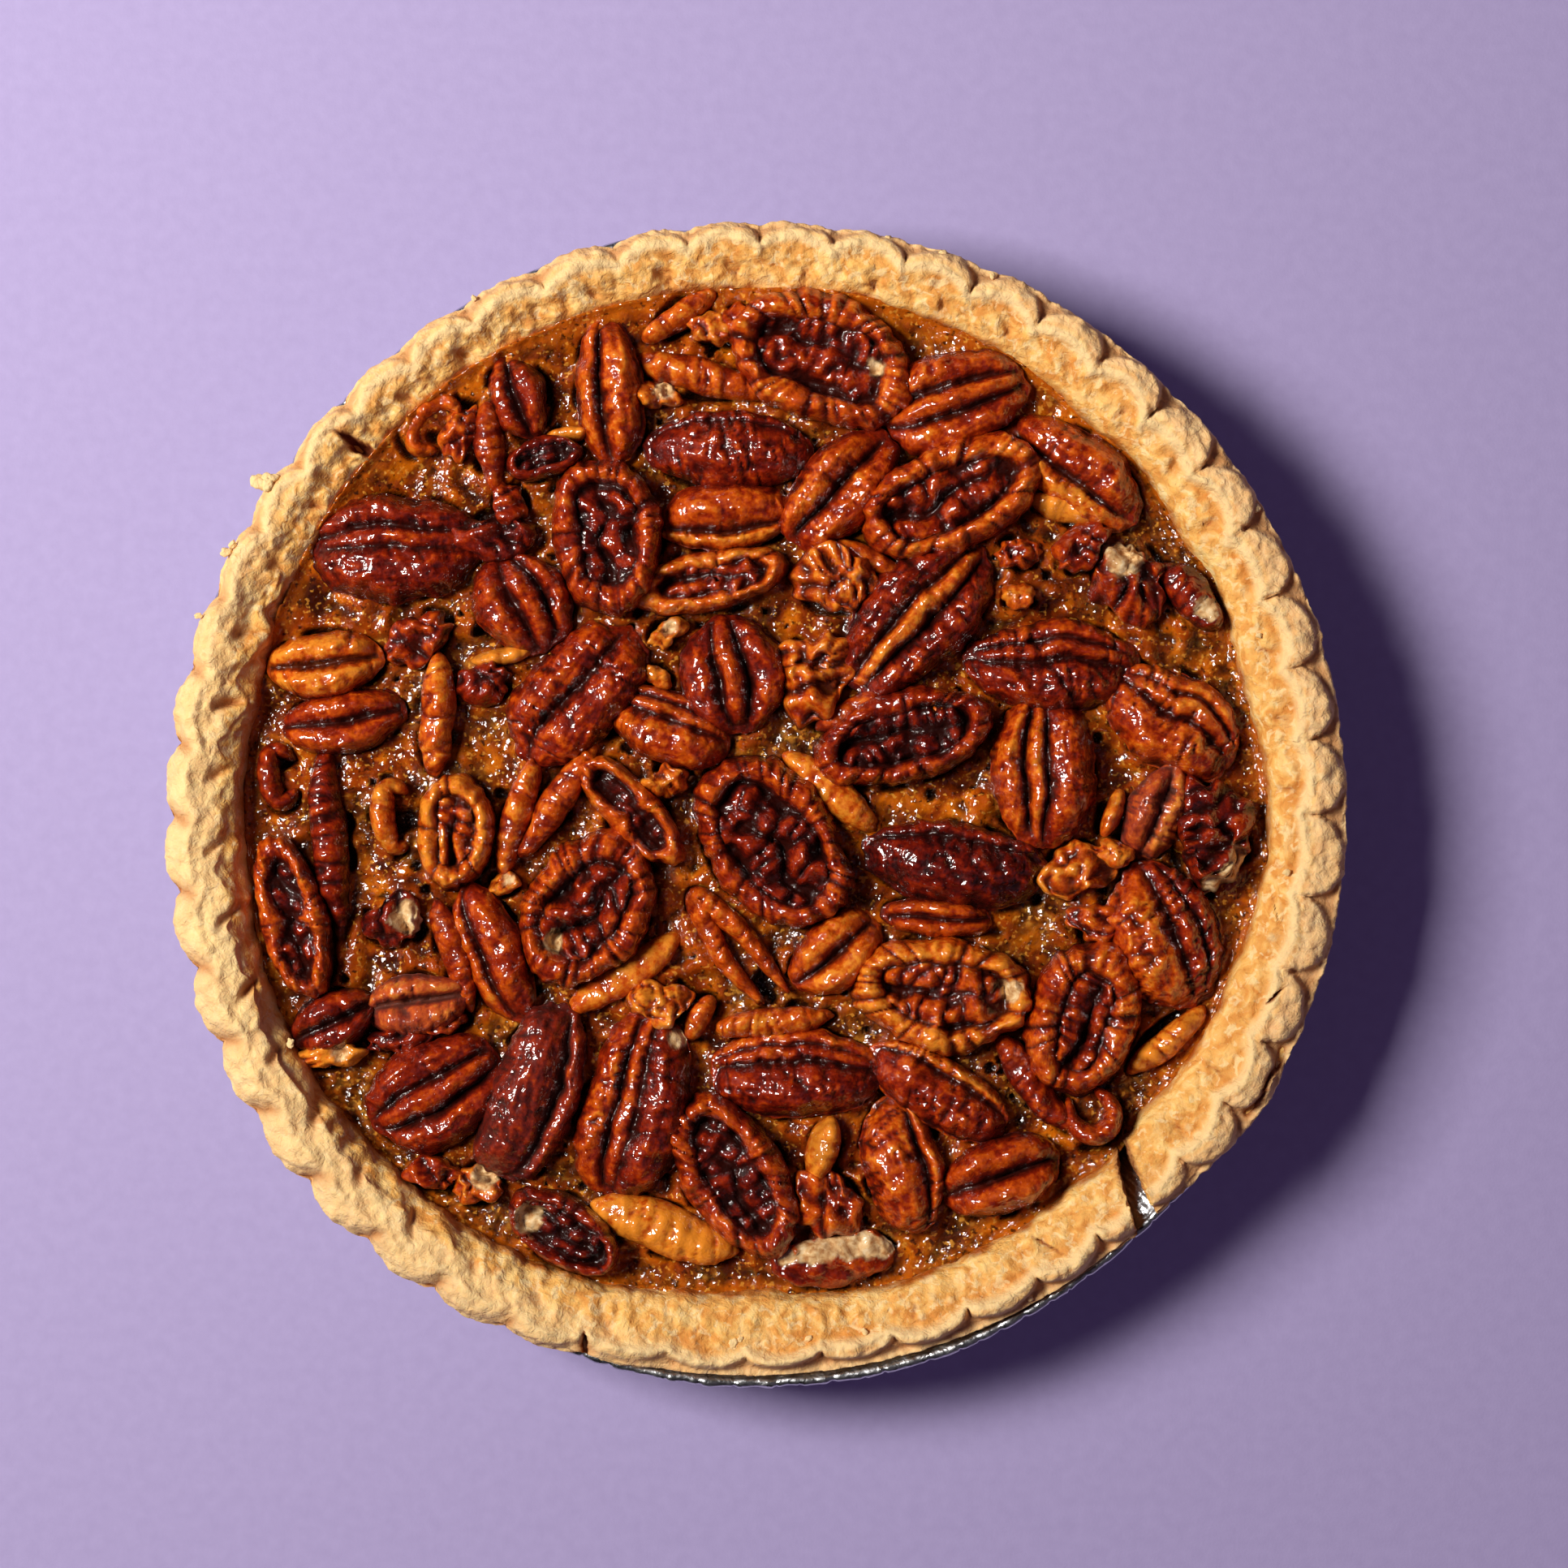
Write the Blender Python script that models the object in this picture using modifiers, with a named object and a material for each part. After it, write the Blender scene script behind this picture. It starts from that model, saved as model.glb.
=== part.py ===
"""Pecan pie, baked in its own foil tin.

Metres, +Z up. The pie stands on the table with its origin under the middle of the tin.
Angles are in degrees, counter-clockwise from +X as seen from above.

The tin is a turned section. The crust and the filling are half sections spun round the
Z axis, and the crust's crimps, its wandering edge and its leaning inner side are worked
into the spun mesh. Each nut is the upper half of a sphere, shaped after its kind, set on
the filling and trimmed where it meets the nuts beside it.
"""

import math

import bmesh
import bpy
from mathutils import Matrix, Vector, noise

MM = 0.001
GAP = 0.3 * MM  # clearance kept between neighbouring pieces
SLOPE_GAP = 0.45 * MM  # the same clearance, measured level across a 45 degree wall

# Foil tin: a flat base, a wall flaring at 45 degrees and a rolled rim.
TIN_BASE_RADIUS = 88 * MM
TIN_DEPTH = 30 * MM
TIN_RIM_RADIUS = TIN_BASE_RADIUS + TIN_DEPTH
TIN_SKIN = 0.5 * MM
SKIN_LEVEL = TIN_SKIN * math.sqrt(2)  # the foil's thickness, measured level across its wall
BEAD_RADIUS = 1.2 * MM
BEAD_CENTRE = (TIN_RIM_RADIUS + 2.6 * MM, TIN_DEPTH + 0.2 * MM)
BEAD_SIDES = 6
TIN_STEPS = 72

# Crust: a shell lining the tin, with a crimped rim that lies over the tin's rim.
CRIMPS = 47
CRIMP_PITCH = 360 / CRIMPS
CRIMP_STEPS = 3  # columns of faces in each crimp
FIRST_NOTCH = 6.8
CRUST_FLOOR = 4.2 * MM  # thickness of the crust on the base
LIP_LOW = BEAD_CENTRE[1] + BEAD_RADIUS + GAP
LIP_HIGH = 35.0 * MM
CREST_HIGH = 38.0 * MM
BAND_HIGH = 33.6 * MM
BAND_RADIUS = 114.0 * MM
CREST_IN = 116.0 * MM
CREST_MID = 118.4 * MM
CREST_OUT = 120.8 * MM
# How far the rim reaches out, every 30 degrees round from +X.
RIM_REACH = [reach * MM for reach in
             (124.0, 123.2, 122.4, 122.0, 121.4, 121.8, 123.2, 124.2, 123.4, 120.2, 121.0, 123.8)]
OUTER_NOTCH = 3.0 * MM  # how deep a crimp is pressed down on its outer side
INNER_NOTCH = 2.6 * MM  # how deep a crimp is dimpled on its inner side
NOTCH_INSET = 2.0 * MM  # how far a notch pulls the crest towards the middle
DIMPLED_SIDE = 200  # the dimpled crimps lie round this angle, the notched ones opposite
UNEVEN = 0.7 * MM  # how far the crest wanders up and down
TINY = 0.1 * MM

# Filling, and the edge where it meets the leaning inner side of the crust.
FILLING_LEVEL = 24.5 * MM
FILLING_RADIUS = 106 * MM
LEAN = 2.6 * MM
LEAN_TOWARDS = 155
FILLING_STEPS = 2 * CRIMPS
WELL_RADIUS = 84.5 * MM  # inner corner between the crust's floor and its side

# Nuts. A unit nut is 12 columns round its long axis and 6 rings long, halved.
NUT_COLUMNS = 12
NUT_RINGS = 6
NUT_HEIGHT = {"back": 0.36, "face": 0.30, "finger": 0.62, "hook": 0.42, "chunk": 0.48}
NUT_HEIGHT_MOST = 7.2 * MM
NUT_HEIGHT_LEAST = 3.4 * MM

# Kind, place of the middle, length, width (millimetres) and turn of the long axis.
PECANS = [
    ("back", -76, 54, 32, 21, 5), ("back", -30.5, 86.5, 28, 14, 97),
    ("face", -31.5, 56.5, 30, 22, 100), ("back", -49.5, 42, 20, 19, -65),
    ("back", -91, 29.5, 22, 13, 3), ("back", -88, 17, 27, 12, 13),
    ("hook", -101, 6, 17, 10, 100), ("finger", -89.5, -7, 34, 7, -85),
    ("hook", -77, -3, 19, 10, 95), ("face", -63.5, -6, 22, 15, 92),
    ("face", -97.5, -24, 32, 13, 108), ("back", -55, -31, 28, 12, -65),
    ("face", -35, -22.5, 32, 24, 60), ("face", -26.5, -1, 27, 11, 132),
    ("face", 3, -7.5, 36, 26, 128), ("finger", 15.5, 2.5, 22, 8, -38),
    ("face", 31, 13.5, 35, 18, 17), ("back", 34, 39, 37, 21, 48),
    ("chunk", 17, 47, 16, 12, 0), ("chunk", 12, 27, 18, 13, 80),
    ("back", -5, 27, 23, 20, 92), ("back", -18, 16, 25, 14, -15),
    ("back", -37, 23, 33, 21, 50), ("face", -9, 46.5, 30, 12, 12),
    ("back", -6, 60, 28, 13, 4), ("back", -6, 74, 31, 15.5, -4),
    ("back", 17.5, 66, 28, 17, 45), ("face", 41, 64.5, 36, 21, 26),
    ("back", 42.5, 85.5, 30, 19, 27), ("face", 14, 93.5, 36, 24, -22),
    ("back", 68, 70, 30, 16, -35), ("chunk", 79, 48, 17, 13, -60),
    ("back", 63, 29, 34, 18, -2), ("back", 88, 18, 29, 19, -35),
    ("back", 60, 7, 30, 21, 90), ("finger", 84, -2, 19, 12, 68),
    ("chunk", 97, -8.5, 24, 17, -50), ("back", 42, -12.5, 36, 16, -6),
    ("face", 39.5, -39.5, 35, 21, -4), ("back", 16.5, -31, 20, 14, 42),
    ("hook", -5, -29, 31, 13, 128), ("finger", -28, -36, 24, 8, 33),
    ("back", -25.5, -64, 36, 22, 76), ("back", -47.5, -61, 35, 19, 68),
    ("back", -67, -61, 28, 21, 22), ("finger", -71.5, -43, 19, 12, 8),
    ("back", -90, -46.5, 19, 11, 25), ("face", -41, -90.5, 22, 14, -38),
    ("finger", -20, -90, 29, 10, -22), ("face", -5, -78, 34, 20, -58),
    ("back", 8.5, -57, 32, 18, -2), ("back", 31, -75.5, 26, 16, 98),
    ("back", 38, -61.5, 29, 15, -28), ("back", 52, -79, 23, 15, 20),
    ("face", 69.5, -45, 31, 21, 70), ("back", 86, -28, 29, 22, -70),
    ("chunk", 17, -96, 26, 10, 5),
]

# Splits in the rim: rows of radius, first angle and last angle, and the split's floor.
SPLITS = {
    "open_gap": (12 * MM, [(126.0, 310.6, 313.8), (121.0, 311.2, 314.0), (115.0, 312.0, 314.8),
                           (110.0, 313.3, 316.0), (106.5, 315.2, 317.0), (105.0, 317.0, 317.6)]),
    "inner_split": (28 * MM, [(118.0, 138.3, 138.6), (111.0, 137.3, 138.6), (107.5, 137.0, 137.4)]),
    "outer_split": (30 * MM, [(126.0, 252.4, 254.2), (119.0, 252.2, 253.0), (115.0, 251.9, 252.1)]),
}

COLOURS = {  # base colour, roughness, metallic
    "foil": ((0.80, 0.80, 0.79), 0.25, 1.0),
    "crust": ((0.78, 0.50, 0.24), 0.75, 0.0),
    "filling": ((0.30, 0.10, 0.02), 0.30, 0.0),
    "pecan_back": ((0.20, 0.045, 0.012), 0.35, 0.0),
    "pecan_face": ((0.24, 0.07, 0.018), 0.35, 0.0),
    "pecan_finger": ((0.32, 0.09, 0.02), 0.35, 0.0),
    "pecan_hook": ((0.28, 0.07, 0.02), 0.35, 0.0),
    "pecan_chunk": ((0.36, 0.15, 0.05), 0.45, 0.0),
}


def clear_scene():
    for leftover in list(bpy.data.objects):
        bpy.data.objects.remove(leftover, do_unlink=True)


def new_collection(name):
    group = bpy.data.collections.new(name)
    bpy.context.scene.collection.children.link(group)
    return group


def make_material(name):
    colour, roughness, metallic = COLOURS[name]
    material = bpy.data.materials.new(name)
    material.use_nodes = True
    shader = material.node_tree.nodes["Principled BSDF"]
    shader.inputs["Base Color"].default_value = (*colour, 1.0)
    shader.inputs["Roughness"].default_value = roughness
    shader.inputs["Metallic"].default_value = metallic
    return material


def add_object(name, mesh, group, material=None):
    """Turn a bmesh into a named object in a collection."""
    data = bpy.data.meshes.new(name)
    mesh.to_mesh(data)
    mesh.free()
    if material:
        data.materials.append(material)
    thing = bpy.data.objects.new(name, data)
    group.objects.link(thing)
    return thing


def polar(radius, angle, height=0.0):
    turn = math.radians(angle)
    return Vector((radius * math.cos(turn), radius * math.sin(turn), height))


def angle_of(point):
    return math.degrees(math.atan2(point.y, point.x)) % 360


def spin_section(section, steps, start=0.0):
    """Spin a half section, listed as (radius, height), once round the Z axis."""
    mesh = bmesh.new()
    points = [mesh.verts.new(polar(radius, start, height)) for radius, height in section]
    edges = [mesh.edges.new(pair) for pair in zip(points, points[1:])]
    bmesh.ops.spin(mesh, geom=points + edges, cent=(0, 0, 0), axis=(0, 0, 1),
                   angle=2 * math.pi, steps=steps, use_merge=True)
    bmesh.ops.remove_doubles(mesh, verts=mesh.verts, dist=0.01 * MM)
    bmesh.ops.recalc_face_normals(mesh, faces=mesh.faces)
    return mesh


def filling_edge(angle):
    """Radius at which the filling meets the crust, which leans to one side."""
    return FILLING_RADIUS + LEAN * math.cos(math.radians(angle - LEAN_TOWARDS))


def rim_reach(angle):
    """Radius of the rim's outer edge, eased between the listed places."""
    place = angle / 360 * len(RIM_REACH)
    before = RIM_REACH[int(place) % len(RIM_REACH)]
    after = RIM_REACH[(int(place) + 1) % len(RIM_REACH)]
    ease = 0.5 - 0.5 * math.cos(math.pi * (place % 1))
    return before + (after - before) * ease


def tin_section():
    """Half section of the tin, from the top of its rolled rim down its outer side."""
    centre_radius, centre_height = BEAD_CENTRE
    bead = []
    for side in range(BEAD_SIDES):
        turn = math.radians(150 - side * 300 / (BEAD_SIDES - 1))
        bead.append((centre_radius + BEAD_RADIUS * math.cos(turn),
                     centre_height + BEAD_RADIUS * math.sin(turn)))
    outside = [(TIN_RIM_RADIUS, TIN_DEPTH), (TIN_BASE_RADIUS, 0.0), (0.0, 0.0)]
    inside = [(0.0, TIN_SKIN), (inner_wall(TIN_SKIN), TIN_SKIN),
              (inner_wall(TIN_DEPTH + TIN_SKIN), TIN_DEPTH + TIN_SKIN)]
    return bead + outside + inside + bead[:1]


def inner_wall(height):
    """Radius of the tin's inner side, which flares at 45 degrees."""
    return TIN_BASE_RADIUS - SKIN_LEVEL + height


def build_tin(group):
    section = tin_section()
    data = bpy.data.meshes.new("foil_tin")
    points = [(radius, 0.0, height) for radius, height in section]
    data.from_pydata(points, [(at, at + 1) for at in range(len(points) - 1)], [])
    tin = bpy.data.objects.new("foil_tin", data)
    group.objects.link(tin)
    data.materials.append(make_material("foil"))
    turned = tin.modifiers.new("turned", "SCREW")
    turned.axis = "Z"
    turned.angle = 2 * math.pi
    turned.steps = TIN_STEPS
    turned.render_steps = TIN_STEPS
    turned.use_merge_vertices = True
    turned.merge_threshold = 0.02 * MM
    turned.use_smooth_shade = True
    return tin


def crust_section():
    """Half section of the crust: under the base, up the tin, over the rim and down inside."""
    clear = TIN_SKIN + GAP
    return [
        (0.0, clear),
        (inner_wall(clear) - SLOPE_GAP, clear),
        (inner_wall(LIP_LOW) - SLOPE_GAP, LIP_LOW),
        (RIM_REACH[0] - 1.0 * MM, LIP_LOW),
        (RIM_REACH[0], (LIP_LOW + LIP_HIGH) / 2),
        (CREST_OUT, CREST_HIGH - 1.2 * MM),
        (CREST_MID, CREST_HIGH),
        (CREST_IN, CREST_HIGH - 1.6 * MM),
        (BAND_RADIUS, BAND_HIGH),
        (FILLING_RADIUS, FILLING_LEVEL),
        (WELL_RADIUS, CRUST_FLOOR + clear),
        (0.0, CRUST_FLOOR + clear),
    ]


def crimp(radius, angle, height):
    """Press one point of the crest into the crimps."""
    open_share = 1 - abs(math.sin(math.pi * (angle - FIRST_NOTCH) / CRIMP_PITCH)) ** 0.7
    dimpled = 0.5 + 0.5 * math.cos(math.radians(angle - DIMPLED_SIDE))
    inner = max(0.0, (CREST_MID - radius) / (CREST_MID - CREST_IN))
    depth = OUTER_NOTCH * (1 - 0.6 * dimpled) * (1 - inner)
    depth += INNER_NOTCH * (0.3 + 0.7 * dimpled) * inner
    radius -= NOTCH_INSET * (1 - dimpled) * (1 - inner) * open_share
    height -= depth * open_share
    height += UNEVEN * noise.noise(polar(3.0, angle))
    return radius, height


def shape_crust(mesh):
    """Work the lean of the inner side, the wandering edge and the crimps into the crust."""
    for vert in mesh.verts:
        radius = math.hypot(vert.co.x, vert.co.y)
        height = vert.co.z
        angle = angle_of(vert.co)
        if height > FILLING_LEVEL - TINY and radius < BAND_RADIUS + TINY:
            share = (CREST_MID - radius) / (CREST_MID - FILLING_RADIUS)
            radius += share * (filling_edge(angle) - FILLING_RADIUS)
        if height > LIP_LOW - TINY and radius > CREST_IN - TINY:
            share = (radius - CREST_IN) / (RIM_REACH[0] - CREST_IN)
            crimped = height > LIP_HIGH
            if crimped:
                radius, height = crimp(radius, angle, height)
            radius += share * (rim_reach(angle) - RIM_REACH[0])
        vert.co = polar(radius, angle, height)


def build_splits(group):
    """Upright cutters, one for each split in the rim."""
    cutters = []
    for name, (floor, rows) in SPLITS.items():
        mesh = bmesh.new()
        outline = [polar(radius * MM, first, floor) for radius, first, last in rows]
        outline += [polar(radius * MM, last, floor) for radius, first, last in reversed(rows)]
        base = mesh.faces.new([mesh.verts.new(point) for point in outline])
        raised = bmesh.ops.extrude_face_region(mesh, geom=[base])["geom"]
        tops = [part for part in raised if isinstance(part, bmesh.types.BMVert)]
        bmesh.ops.translate(mesh, verts=tops, vec=(0, 0, CREST_HIGH + 5 * MM - floor))
        bmesh.ops.recalc_face_normals(mesh, faces=mesh.faces)
        cutter = add_object(name, mesh, group)
        cutter.hide_render = True
        cutter.display_type = "WIRE"
        cutters.append(cutter)
    return cutters


def build_crust(group, cutters):
    mesh = spin_section(crust_section(), CRIMPS * CRIMP_STEPS, FIRST_NOTCH)
    shape_crust(mesh)
    crust = add_object("crust", mesh, group, make_material("crust"))
    crust.data.shade_smooth()
    crust.data.set_sharp_from_angle(angle=math.radians(50))
    for cutter in cutters:
        split = crust.modifiers.new(cutter.name, "BOOLEAN")
        split.operation = "DIFFERENCE"
        split.solver = "EXACT"
        split.object = cutter
    return crust


def build_filling(group):
    """The filling: a solid down to the crust's floor, level on top."""
    floor = CRUST_FLOOR + TIN_SKIN + 2 * GAP
    section = [
        (0.0, FILLING_LEVEL),
        (FILLING_RADIUS - SLOPE_GAP, FILLING_LEVEL),
        (WELL_RADIUS - SLOPE_GAP + GAP, floor),
        (0.0, floor),
    ]
    mesh = spin_section(section, FILLING_STEPS, FIRST_NOTCH)
    for vert in mesh.verts:
        radius = math.hypot(vert.co.x, vert.co.y)
        if radius > FILLING_RADIUS - 1 * MM:
            angle = angle_of(vert.co)
            vert.co = polar(filling_edge(angle) - SLOPE_GAP, angle, vert.co.z)
    return add_object("filling", mesh, group, make_material("filling"))


def shape_back(point):
    """Rounded side of a half: two grooves along it, with a low ridge between them."""
    round_angle = math.degrees(math.atan2(point.z, point.y))
    across = abs(round_angle - 90)
    if abs(across - 30) < 5 and abs(point.x) < 0.95:
        return Vector((point.x, point.y * 0.92, point.z * 0.74))
    return point


def shape_face(point):
    """Open side of a half: a wrinkled ring round a hollow."""
    round_angle = math.degrees(math.atan2(point.z, point.y))
    across = abs(round_angle - 90)
    if across < 5 and abs(point.x) < 0.7:
        return Vector((point.x, point.y, point.z * 0.55))
    return point


def shape_finger(point):
    """A plain curved lobe."""
    return Vector((point.x, point.y + 0.12 - 0.24 * point.x ** 2, point.z))


def shape_hook(point):
    """A rope bent into a crescent, within the same length and width."""
    bend = math.radians(75)
    turn = point.x * bend
    rope = 0.42
    radius = 1.0 + point.y * rope
    reach = math.sin(bend) + rope * math.sin(bend) ** 2
    depth = 1.0 + rope - (1.0 - rope) * math.cos(bend)
    along = radius * math.sin(turn) / reach
    aside = (radius * math.cos(turn) - (1.0 + rope) + depth / 2) / (depth / 2)
    return Vector((along, aside, point.z))


def shape_chunk(point):
    """A broken lump."""
    swell = 1.0 + 0.22 * noise.noise(point * 1.7)
    return Vector((point.x * swell, point.y * swell, point.z * swell))


NUT_SHAPES = {"back": shape_back, "face": shape_face, "finger": shape_finger,
              "hook": shape_hook, "chunk": shape_chunk}


def half_sphere():
    """Upper half of a unit sphere whose poles lie on the X axis, closed underneath."""
    mesh = bmesh.new()
    bmesh.ops.create_uvsphere(mesh, u_segments=NUT_COLUMNS, v_segments=NUT_RINGS, radius=1.0)
    bmesh.ops.rotate(mesh, verts=mesh.verts, cent=(0, 0, 0),
                     matrix=Matrix.Rotation(math.radians(90), 3, "Y"))
    below = [vert for vert in mesh.verts if vert.co.z < -0.01]
    bmesh.ops.delete(mesh, geom=below, context="VERTS")
    bmesh.ops.holes_fill(mesh, edges=mesh.edges, sides=0)
    for vert in mesh.verts:
        vert.co.z = max(vert.co.z, 0.0)
    return mesh


class Nut:
    """Place and plan outline of one nut, an ellipse on the filling."""

    def __init__(self, number, kind, x, y, length, width, turn):
        self.name = f"pecan_{kind}_{number:02d}"
        self.kind = kind
        self.length = length * MM
        self.width = width * MM
        height = max(NUT_HEIGHT_LEAST, min(NUT_HEIGHT_MOST, self.width * NUT_HEIGHT[kind]))
        self.size = Vector((self.length / 2, self.width / 2, height))
        self.place = Vector((x * MM, y * MM, FILLING_LEVEL + GAP))
        self.turn = math.radians(turn)
        self.to_pie = Matrix.Translation(self.place) @ Matrix.Rotation(self.turn, 4, "Z")
        self.to_nut = self.to_pie.inverted()

    def depth(self, point):
        """How deep a point of the pie lies in the outline: 1 on it, 0 in the middle."""
        local = self.to_nut @ point
        return math.hypot(local.x / self.size.x, local.y / self.size.y)

    def outward(self, point):
        """Direction straight out of the outline at a point of the pie."""
        local = self.to_nut @ point
        steep = Vector((local.x / self.size.x ** 2, local.y / self.size.y ** 2, 0.0))
        return (self.to_pie.to_3x3() @ steep).normalized()

    def outline(self):
        steps = 36
        for step in range(steps):
            turn = 2 * math.pi * step / steps
            yield self.to_pie @ Vector((self.size.x * math.cos(turn),
                                        self.size.y * math.sin(turn), 0.0))


def dividing_plane(nut, other):
    """Upright plane between two nuts whose outlines cross, or None."""
    crossing = any(other.depth(point) < 1.08 for point in nut.outline())
    if not crossing:
        return None
    towards = other.place - nut.place
    own = 1 / nut.depth(other.place)
    others = 1 / other.depth(nut.place)
    middle = nut.place + towards * (own / (own + others))
    normal = (nut.outward(middle) - other.outward(middle)).normalized()
    return middle, normal


def build_nut(nut, others, group, material):
    mesh = half_sphere()
    shape = NUT_SHAPES[nut.kind]
    for vert in mesh.verts:
        shaped = shape(vert.co)
        vert.co = Vector((shaped.x * nut.size.x, shaped.y * nut.size.y, shaped.z * nut.size.z))
        in_pie = nut.to_pie @ vert.co
        limit = filling_edge(angle_of(in_pie)) - 2 * GAP
        radius = math.hypot(in_pie.x, in_pie.y)
        if radius > limit:
            in_pie = polar(limit, angle_of(in_pie), in_pie.z)
            vert.co = nut.to_nut @ in_pie
    for other in others:
        plane = dividing_plane(nut, other)
        if plane is None:
            continue
        middle, normal = plane
        middle = nut.to_nut @ (middle - normal * GAP)
        normal = nut.to_nut.to_3x3() @ normal
        bmesh.ops.bisect_plane(mesh, geom=mesh.verts[:] + mesh.edges[:] + mesh.faces[:],
                               dist=0.01 * MM, plane_co=middle, plane_no=normal,
                               clear_outer=True)
        bmesh.ops.holes_fill(mesh, edges=mesh.edges, sides=0)
    bmesh.ops.recalc_face_normals(mesh, faces=mesh.faces)
    thing = add_object(nut.name, mesh, group, material)
    thing.location = nut.place
    thing.rotation_euler = (0.0, 0.0, nut.turn)
    thing.data.shade_smooth()
    thing.data.set_sharp_from_angle(angle=math.radians(50))
    return thing


def build_nuts(group):
    nuts = [Nut(number, *row) for number, row in enumerate(PECANS, start=1)]
    materials = {kind: make_material(f"pecan_{kind}") for kind in NUT_SHAPES}
    for nut in nuts:
        reach = nut.length + 40 * MM
        others = [other for other in nuts
                  if other is not nut and (other.place - nut.place).length < reach]
        build_nut(nut, others, group, materials[nut.kind])


def build_pie():
    clear_scene()
    pie = new_collection("pecan_pie")
    cutters = build_splits(new_collection("cutters"))
    build_tin(pie)
    build_crust(pie, cutters)
    build_filling(pie)
    build_nuts(pie)


build_pie()
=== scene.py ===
# %% [markdown]
# # Pecan pie in its foil tin
# A nine-inch pie bought ready baked: a pleated foil tin, a crust crimped by a machine wheel, a sweet custard
# that has set round the nuts, and about a hundred pecan halves and pieces under a thin glaze.
# The measured solids are loaded first. Every piece below is modelled round them, in the same place.

# %% Load the measured pie
import math

import bpy
import numpy as np
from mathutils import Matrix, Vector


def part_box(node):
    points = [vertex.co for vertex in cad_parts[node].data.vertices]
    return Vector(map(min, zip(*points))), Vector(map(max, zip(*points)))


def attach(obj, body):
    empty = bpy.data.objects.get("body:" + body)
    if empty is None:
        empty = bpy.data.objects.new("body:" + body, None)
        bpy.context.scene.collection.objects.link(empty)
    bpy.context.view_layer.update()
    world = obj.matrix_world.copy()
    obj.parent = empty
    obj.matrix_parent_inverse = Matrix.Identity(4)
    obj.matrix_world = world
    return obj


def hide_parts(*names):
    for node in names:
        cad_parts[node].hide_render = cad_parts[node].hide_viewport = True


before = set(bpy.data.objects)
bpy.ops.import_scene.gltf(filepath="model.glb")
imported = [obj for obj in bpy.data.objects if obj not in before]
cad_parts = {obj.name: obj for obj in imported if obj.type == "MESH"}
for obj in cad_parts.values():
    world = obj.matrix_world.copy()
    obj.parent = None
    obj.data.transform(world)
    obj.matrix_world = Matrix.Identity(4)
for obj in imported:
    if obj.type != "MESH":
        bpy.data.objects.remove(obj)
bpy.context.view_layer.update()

MM = 0.001
print("solids loaded:", len(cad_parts))

# %% [markdown]
# ## Sizes that come from the solids
# A box drawn round a solid gives its level and reach. The crust sits on the tin, and the nuts stand in the
# filling, so these few levels tie all the pieces together. Sculpting is done in millimetres, because a
# baker's sizes are easy to read that way, and only the finished points are turned into metres.


# %% Levels in millimetres
def box_mm(node):
    low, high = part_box(node)
    return np.array(low) / MM, np.array(high) / MM


TIN_RIM_TOP = box_mm("foil_tin")[1][2]
TIN_REACH = box_mm("foil_tin")[1][0]
CUSTARD_LEVEL = box_mm("filling")[1][2]
CUSTARD_FLOOR = box_mm("filling")[0][2]
CRUST_TOP = box_mm("crust")[1][2]
PECAN_NODES = sorted((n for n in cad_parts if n.startswith("pecan_")), key=lambda n: int(n[-2:]))
print("tin rim", TIN_RIM_TOP, "custard", CUSTARD_LEVEL, "crust top", CRUST_TOP, "pecans", len(PECAN_NODES))

# %% [markdown]
# ## Camera, light and table
# The pie is seen from straight above, as on a menu. One lamp of the size of a small window stands high at
# the upper left, so every nut and crimp throws a short shadow to the lower right. A large dim lamp on the
# other side keeps the shadows from going black. Light that comes mostly from one side shows relief best.

# %% Camera
VIEW_CENTRE = (0.0058, 0.0041)
VIEW_WIDTH = 0.3275
CAMERA_HEIGHT = 0.85
RIM_LEVEL = 0.036
camera_data = bpy.data.cameras.new("camera")
camera_data.sensor_width = 36
camera_data.lens = camera_data.sensor_width * CAMERA_HEIGHT / VIEW_WIDTH
camera = bpy.data.objects.new("camera", camera_data)
camera.location = (*VIEW_CENTRE, RIM_LEVEL + CAMERA_HEIGHT)
bpy.context.scene.collection.objects.link(camera)
bpy.context.scene.camera = camera
bpy.context.scene.view_settings.view_transform = "Standard"
print("lens", round(camera_data.lens, 1), "mm")


# %% Lamps
def lamp(name, azimuth, from_vertical, distance, size, power, tint, aside=0):
    """A square lamp that looks at the pie, or some degrees aside of it. Azimuth runs from +X towards +Y."""
    data = bpy.data.lights.new(name, "AREA")
    data.size = size
    data.energy = power
    data.color = tint
    piece = bpy.data.objects.new(name, data)
    turn, lean = math.radians(azimuth), math.radians(from_vertical)
    flat = distance * math.sin(lean)
    piece.location = (flat * math.cos(turn), flat * math.sin(turn), distance * math.cos(lean))
    piece.rotation_euler = (math.radians(aside), lean, turn)
    bpy.context.scene.collection.objects.link(piece)


lamp("window", azimuth=163, from_vertical=39, distance=1.08, size=0.38, power=16.0, tint=(1.0, 0.965, 0.91), aside=-25)
lamp("bounce", azimuth=-30, from_vertical=50, distance=1.6, size=1.6, power=0.55, tint=(0.88, 0.68, 1.0))
world = bpy.data.worlds.new("room")
world.use_nodes = True
world.node_tree.nodes["Background"].inputs["Color"].default_value = (0.68, 0.46, 0.94, 1.0)
world.node_tree.nodes["Background"].inputs["Strength"].default_value = 0.085
world.cycles_visibility.glossy = False
bpy.context.scene.world = world

# %% [markdown]
# ## Tools for sculpting
# Baked dough and nuts are uneven, but not at random at every point: a bump has a size. So bumps come from
# smooth noise with a size in millimetres. It gives each point of space a height, and neighbours agree.
# Cracks and bubbles come from cells: the space is filled with seeds, and each point asks how far the nearest is.

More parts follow.
